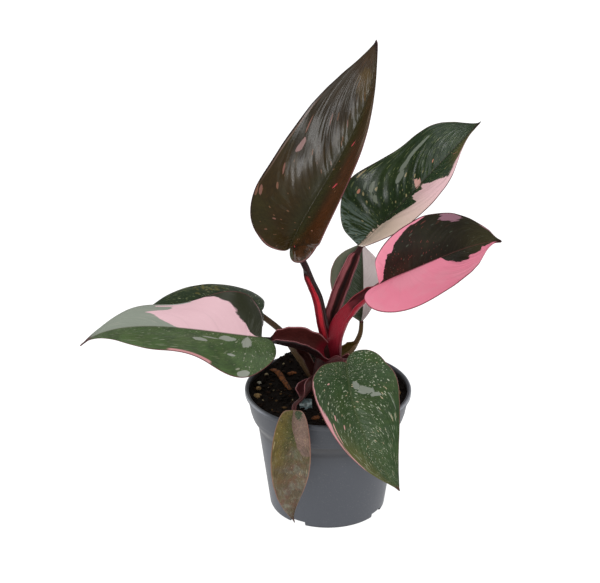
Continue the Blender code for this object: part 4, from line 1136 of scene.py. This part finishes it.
def make_pot():
    pot = turned("pot", pot_profile(), POT_SIDES)
    cutters = [foot_notch(number) for number in range(NOTCH_COUNT)]
    cutters += [drain_hole(number) for number in range(DRAIN_HOLES)]
    for cutter in cutters:
        hole = pot.modifiers.new("hole", "BOOLEAN")
        hole.operation = "DIFFERENCE"
        hole.solver = "EXACT"
        hole.object = cutter
    settle(pot)
    for cutter in cutters:
        bpy.data.objects.remove(cutter)
    pot.data.shade_smooth()
    pot.data.set_sharp_from_angle(angle=SHARP_ANGLE)
    stands_for(pot, "nursery_pot", [paint_pot()])


def paint_pot():
    """Smooth grey plastic with a soft sheen, a little dust and a thin dark line under the collar; painted
    shade above the step, at the foot and on the inner wall, and a painted highlight on the rim.
    """
    paint = Paint("pot_plastic", (84, 87, 94), 0.42, 0.25)
    place = paint.place()
    x, y, z = place.split()
    radius = (x * x + y * y).math("SQRT")
    clouds = place.noise(22.0, 3.0)
    paint.tone(clouds * 0.10 + 0.95)
    dust = place.noise(900.0, 2.0).above(0.66, 0.05) * place.noise(40.0).above(0.45, 0.15)
    paint.layer(dust * 0.12, (170, 165, 158))
    # painted shade: the pot's colour is darkened by a fifth from the step upwards
    paint.tone(z.between(0.0615, 0.0645) * -0.2 + 1.0)
    under_collar = abs(z - 0.0762).below(0.0003, 0.0003)
    paint.layer(under_collar * 0.6, (50, 52, 58))
    # painted shade: a dark strip along the foot's lower edge, where it meets the floor
    paint.layer(z.below(0.0016, 0.0012) * 0.7, (48, 50, 56))
    # painted highlight: a pale band on the outer edge of the rim, where the lip catches the light
    painted_rim_highlight = z.above(0.0912, 0.0008) * radius.above(0.0588, 0.0003) * abs(x).above(0.046, 0.008)
    paint.layer(painted_rim_highlight * 0.85, (160, 164, 172))
    # painted shade: the inside of the wall above the soil is painted dark brown-black
    inner_wall_shade = (radius - z * 0.2).below(0.04, 0.0003) * z.above(0.07) * z.below(0.0915, 0.0006)
    paint.layer(inner_wall_shade * 0.85, (44, 38, 32))
    paint.rough(clouds * 0.12 + 0.36)
    paint.relief(place.noise(1800.0, 2.0), 0.02)
    return paint.done()


# ================================================================ soil
SOIL_LEVEL = 89.0
SOIL_RADIUS = RIM_RADIUS - LIP_OVERHANG - WALL - 0.4
HEAP_CENTRE = (-28.0, 44.0)
HEAP_HEIGHT = 8.5
HEAP_SPREAD = 13.0
SOIL_ROUGHNESS = 0.8
SOIL_GRAINS = (7, 3, 2.2)      # mm between coarse, middle and fine lumps
SOIL_RINGS = 64
SOIL_SIDES = 180
SHADE_HEIGHT = 0.15            # how much the bed's own tint wanders
CRUMB_COUNT = 1500
CRUMB_SIZES = (0.5, 0.5, 0.6, 0.8, 1.0, 1.4)
CROWN_RADIUS = 20              # a few crumbs are left out nearer the stem than this
FIBRE_COUNT = 60
FIBRE_STEP = 1.1
FIBRE_SIDES = 4
FIBRE_TINT = (0.35, 0.5, 0.0)
PLAIN_TINT = (0.0, 0.0, 0.0)


def soil_height(x, y):
    """Height of the soil's rough surface in mm, above a point in mm."""
    distance = math.hypot(x - HEAP_CENTRE[0], y - HEAP_CENTRE[1])
    heap = HEAP_HEIGHT * math.exp(-(distance / HEAP_SPREAD) ** 2)
    coarse, middle, fine = SOIL_GRAINS
    lumps = noise.noise(Vector((x / coarse, y / coarse, 0.3)))
    lumps += 0.5 * noise.noise(Vector((x / middle, y / middle, 4.1)))
    grit = noise.fractal(Vector((x / fine, y / fine, 7.7)), 1.0, 2.0, 4)
    return SOIL_LEVEL + heap + SOIL_ROUGHNESS * lumps + SOIL_ROUGHNESS * grit


def circle(radius):
    """Points (x, y) of a ring of the soil."""
    angles = [2 * math.pi * side / SOIL_SIDES for side in range(SOIL_SIDES)]
    return [(radius * math.cos(angle), radius * math.sin(angle)) for angle in angles]


def unit_lump():
    """Points and faces of a small round cage, the stock for every crumb."""
    bm = bmesh.new()
    bmesh.ops.create_icosphere(bm, subdivisions=1, radius=1.0)
    points = [vertex.co.copy() for vertex in bm.verts]
    faces = [tuple(vertex.index for vertex in face.verts) for face in bm.faces]
    bm.free()
    return points, faces


LUMP_POINTS, LUMP_FACES = unit_lump()


class Bed:
    """Points in mm, with a tint each, and faces of the soil and all that is part of it."""

    def __init__(self):
        self.points, self.tints, self.faces = [], [], []
        self.shades = random.Random(12)

    def add(self, point, tint=PLAIN_TINT):
        self.points.append(Vector(point))
        self.tints.append(tint)
        return len(self.points) - 1

    def join(self, ring, further):
        """Faces between two rings of the soil."""
        for a in range(SOIL_SIDES):
            b = (a + 1) % SOIL_SIDES
            self.faces.append((ring[a], further[a], further[b], ring[b]))

    def surface(self):
        """The rough top, out to the wall. Returns its outer ring."""
        centre = self.add((0, 0, soil_height(0, 0)))
        rings = []
        for number in range(1, SOIL_RINGS + 1):
            rings.append([self.add((x, y, soil_height(x, y)),
                                   (SHADE_HEIGHT * noise.noise(Vector((x, y, 3)) / 4), 0.0, 0.0))
                          for x, y in circle(SOIL_RADIUS * number / SOIL_RINGS)])
        for a in range(SOIL_SIDES):
            self.faces.append((centre, rings[0][a], rings[0][(a + 1) % SOIL_SIDES]))
        for ring, further in zip(rings, rings[1:]):
            self.join(ring, further)
        return rings[-1]

    def side(self, ring):
        """The soil's side down the inside of the pot, and its bottom."""
        profile = [point for point in wall_profile(WALL + 0.5) if point[1] < SOIL_LEVEL - 6]
        for radius, height in profile + [(BASE_RADIUS - WALL - 2, FLOOR_TOP + 0.4)]:
            lower = [self.add((x, y, height)) for x, y in circle(radius)]
            self.join(ring, lower)
            ring = lower
        self.faces.append(tuple(ring[::-1]))

    def scattered(self, margin):
        """A random point (x, y) on the soil, at least the margin away from its rim."""
        angle = self.shades.uniform(0, 2 * math.pi)
        radius = (SOIL_RADIUS - margin) * math.sqrt(self.shades.random())
        return radius * math.cos(angle), radius * math.sin(angle)

    def crumb(self):
        """A small rough lump, most often dark; a few are left out round the stem."""
        shades = self.shades
        x, y = self.scattered(1.5)
        size = shades.choice(CRUMB_SIZES) * shades.uniform(0.8, 1.25)
        if shades.random() < 0.12 and math.hypot(x, y) < CROWN_RADIUS:
            return
        tint = shades.random() ** 5
        centre = Vector((x, y, soil_height(x, y) + 0.3 * size))
        stretch = Vector((shades.uniform(0.7, 1.5), shades.uniform(0.7, 1.3), shades.uniform(0.5, 0.9)))
        seed = shades.uniform(0, 99)
        first = len(self.points)
        for corner in LUMP_POINTS:
            rough = 1 + 0.6 * noise.noise(corner * 1.3 + Vector((seed, 0, 0)))
            # the second number has no use of its own; drawing it keeps the order of the draws
            self.add(centre + corner * stretch * (size * rough), (tint, shades.random(), 0.0))
        self.faces += [tuple(first + index for index in face) for face in LUMP_FACES]

    def fibre(self):
        """A thin bent root or coir fibre that lies on the soil."""
        shades = self.shades
        x, y = self.scattered(8)
        heading = shades.uniform(0, 2 * math.pi)
        turn = shades.uniform(-0.35, 0.35)
        thickness = shades.uniform(0.12, 0.28)
        rings = []
        for _ in range(shades.randint(5, 12)):
            heading += turn + shades.uniform(-0.3, 0.3)
            x += FIBRE_STEP * math.cos(heading)
            y += FIBRE_STEP * math.sin(heading)
            if math.hypot(x, y) > SOIL_RADIUS - 1:
                break
            centre = Vector((x, y, soil_height(x, y) + 0.5 + shades.uniform(0, 0.5)))
            rings.append([])
            for corner in range(FIBRE_SIDES):
                spin = 2 * math.pi * corner / FIBRE_SIDES
                offset = Vector((-math.sin(heading) * math.cos(spin), math.cos(heading) * math.cos(spin),
                                 math.sin(spin)))
                rings[-1].append(self.add(centre + offset * thickness, FIBRE_TINT))
        for ring, further in zip(rings, rings[1:]):
            for a in range(FIBRE_SIDES):
                b = (a + 1) % FIBRE_SIDES
                self.faces.append((ring[a], ring[b], further[b], further[a]))


def make_soil():
    """A rough bed, over a thousand crumbs and a few root fibres, in one piece."""
    bed = Bed()
    bed.side(bed.surface())
    for _ in range(CRUMB_COUNT):
        bed.crumb()
    for _ in range(FIBRE_COUNT):
        bed.fibre()
    soil = piece_from("soil", bed.points, bed.faces, (("tint", bed.tints),))
    stands_for(soil, "potting_soil", [paint_soil()])


def paint_soil():
    """Nearly black and damp, with brown and tan crumbs."""
    paint = Paint("soil", (20, 14, 10), 0.9, 0.15)
    tint = paint.attribute("tint").split()[0]
    paint.layer(tint.between(0.1, 0.5) * 0.8, (48, 32, 22))
    paint.layer(tint.above(0.78, 0.05), (90, 68, 42))
    paint.layer(tint.above(0.93, 0.02), (150, 136, 108))
    place = paint.place()
    paint.tone(place.noise(900.0, 3.0, 0.6) * 1.1 + 0.5)
    paint.relief(place.noise(1500.0, 3.0), 0.5)
    return paint.done()


# ================================================================ stem and loose pieces
LOOSE_GRAIN = 1.6              # mm between the bumps of a loose piece
BARK = (0.75, 0.3, (500.0, 4.0, 0.7), (0.5, 0.15), 1.0, 900.0, 0.4)
# a mottle: ground and spot colour, roughness, specular, the spots' noise, its edge and softness,
# the spots' strength, and the noise scale and depth in mm of the relief
MOTTLES = {
    "stem_skin": ((58, 22, 22), (44, 22, 20), 0.5, 0.15, (180.0, 3.0), (0.5, 0.2), 0.7, 700.0, 0.3),
    "tan_bark": ((172, 142, 96), (104, 76, 48), *BARK),
    "rust_bark": ((142, 84, 40), (58, 30, 16), *BARK),
    "perlite": ((206, 200, 186), (120, 110, 94), 0.85, 0.3, (1500.0, 3.0), (0.6, 0.1), 0.5, 1600.0, 0.4),
}


def mottled(name, ground, spot, roughness, specular, spots, edge, strength, bumps, depth):
    paint = Paint(name, ground, roughness, specular)
    place = paint.place()
    paint.layer(place.noise(*spots).above(*edge) * strength, spot)
    paint.relief(place.noise(bumps, 3.0), depth)
    return paint.done()


def paint_fleece():
    """A pale plastic fleece with fine ribs, and painted highlights along the ribs."""
    paint = Paint("fleece", (96, 116, 120), 0.3)
    place = paint.place()
    ribs = (place.split()[2] * 1500.0 + place.noise(260.0) * 5.0).math("SINE")
    # painted highlight: pale stripes along the ribs
    paint.layer(ribs.above(0.2, 0.4) * 0.75, (190, 206, 208))
    paint.layer(place.noise(300.0, 3.0).above(0.55, 0.08) * 0.7, (60, 66, 66))
    paint.relief(ribs, 0.3)
    return paint.done()


def refined(node, name, levels, roughness, material, seed):
    """A smoother, rougher copy of a small CAD piece, in the same place."""
    bm = bmesh.new()
    bm.from_mesh(frame["nodes"][node].data)
    bmesh.ops.remove_doubles(bm, verts=bm.verts, dist=MERGE_DISTANCE)
    mesh = bpy.data.meshes.new(name)
    bm.to_mesh(mesh)
    bm.free()
    piece = linked(name, mesh)
    finer = piece.modifiers.new("finer", "SUBSURF")
    finer.levels = finer.render_levels = levels
    settle(piece)
    for vertex in piece.data.vertices:
        push = noise.fractal(vertex.co / MM / LOOSE_GRAIN + Vector((seed, 0, 0)), 1.0, 2.0, 3)
        vertex.co += vertex.normal * (roughness * push * MM)
    piece.data.materials.clear()
    piece.data.shade_smooth()
    stands_for(piece, node, [material])


def make_loose_pieces():
    """The stem, then the bark chips, the perlite grains and the scrap of fleece on the soil."""
    skins = {slot: mottled(slot, *mottle) for slot, mottle in MOTTLES.items()}
    refined("stem", "stem_body", 1, 0.25, skins["stem_skin"], 1.0)
    for number, node in enumerate(sorted(frame["nodes"])):
        if node.startswith(("bark_", "perlite_")):
            roughness = 0.35 if node.startswith("bark_") else 0.3
            refined(node, node + "_piece", 2, roughness, skins[SLOTS[node]], number)
    refined("wrapper_scrap", "fleece_scrap", 2, 0.3, paint_fleece(), 5.0)


# ================================================================ stage
FLOOR_SIZE = 200
FLOOR_GREY = 0.25
BACKDROP_STRENGTH = 0.42
CAMERA_PLACE = (-0.0202, -1.1536, 0.6920)
CAMERA_PITCH = 24.4            # degrees below the horizon
CAMERA_LENS, CAMERA_SENSOR = 108, 36
# soft boxes: place, target, width and height, power
SOFTBOXES = {
    "key": ((-1.25, -0.9, 1.75), (0.0, 0.0, 0.15), (1.3, 1.3), 8),
    "top": ((0.1, -0.1, 1.7), (0.0, 0.0, 0.2), (1.2, 1.2), 4.5),
    "fill": ((1.5, 0.2, 1.0), (0.0, 0.0, 0.15), (1.0, 1.0), 1.5),
    "strip_front": ((-0.12, -1.22, 1.1), (0.0, 0.0, 0.28), (0.5, 0.16), 2.6),
    "strip_back": ((-1.25, 0.18, 0.6), (0.0, 0.0, 0.25), (0.3, 0.3), 1.0),
}


def make_floor():
    """A plain white floor that melts into the background."""
    bpy.ops.mesh.primitive_plane_add(size=FLOOR_SIZE)
    floor = bpy.context.object
    floor.name = "floor"
    paint = Paint("floor", (255, 255, 255), 0.9, 0.0)
    paint.colour = (FLOOR_GREY,) * 3
    paint.shader.inputs["Emission Color"].default_value = (1, 1, 1, 1)
    paint.shader.inputs["Emission Strength"].default_value = 1.0
    floor.data.materials.append(paint.done())


def make_world():
    world = bpy.data.worlds.new("studio")
    world.use_nodes = True
    backdrop = world.node_tree.nodes["Background"]
    backdrop.inputs["Color"].default_value = (1, 1, 1, 1)
    backdrop.inputs["Strength"].default_value = BACKDROP_STRENGTH
    bpy.context.scene.world = world
    bpy.context.scene.view_settings.view_transform = "Standard"


def make_softbox(name, place, target, size, power):
    """A lamp the size (width, height) of a soft box, turned to the target."""
    data = bpy.data.lights.new(name, "AREA")
    data.shape = "RECTANGLE"
    data.size, data.size_y = size
    data.energy = power
    lamp = linked(name, data)
    lamp.location = place
    lamp.rotation_euler = (Vector(target) - Vector(place)).to_track_quat("-Z", "Y").to_euler()
    lamp.visible_camera = False


def make_camera():
    data = bpy.data.cameras.new("camera")
    data.lens = CAMERA_LENS
    data.sensor_width = CAMERA_SENSOR
    camera = linked("camera", data)
    camera.location = CAMERA_PLACE
    camera.rotation_euler = (math.radians(90 - CAMERA_PITCH), 0, 0)
    bpy.context.scene.camera = camera


# ================================================================ assembly
LEAF_SEED_STEP = 3.7           # sets the noise of one leaf apart from that of the next
STALK_SEED_STEP = 5.1
make_floor()
make_world()
for name, softbox in SOFTBOXES.items():
    make_softbox(name, *softbox)
make_camera()
make_pot()
make_soil()
for number, (place, leaf) in enumerate(LEAVES.items()):
    seed = LEAF_SEED_STEP * number
    rim = Paint("edge_" + place, RIM_COLOUR, 0.4).done()
    under = paint_underside("underside_" + place, LOOKS[place].underside)
    make_leaf(place, leaf, seed, [paint_leaf(place, LOOKS[place], seed), under, rim])
for number, (place, stalk) in enumerate(STALKS.items()):
    make_stalk(place, stalk, STALK_SEED_STEP * number, paint_stalk(place, SKINS[place], number + 1))
make_loose_pieces()
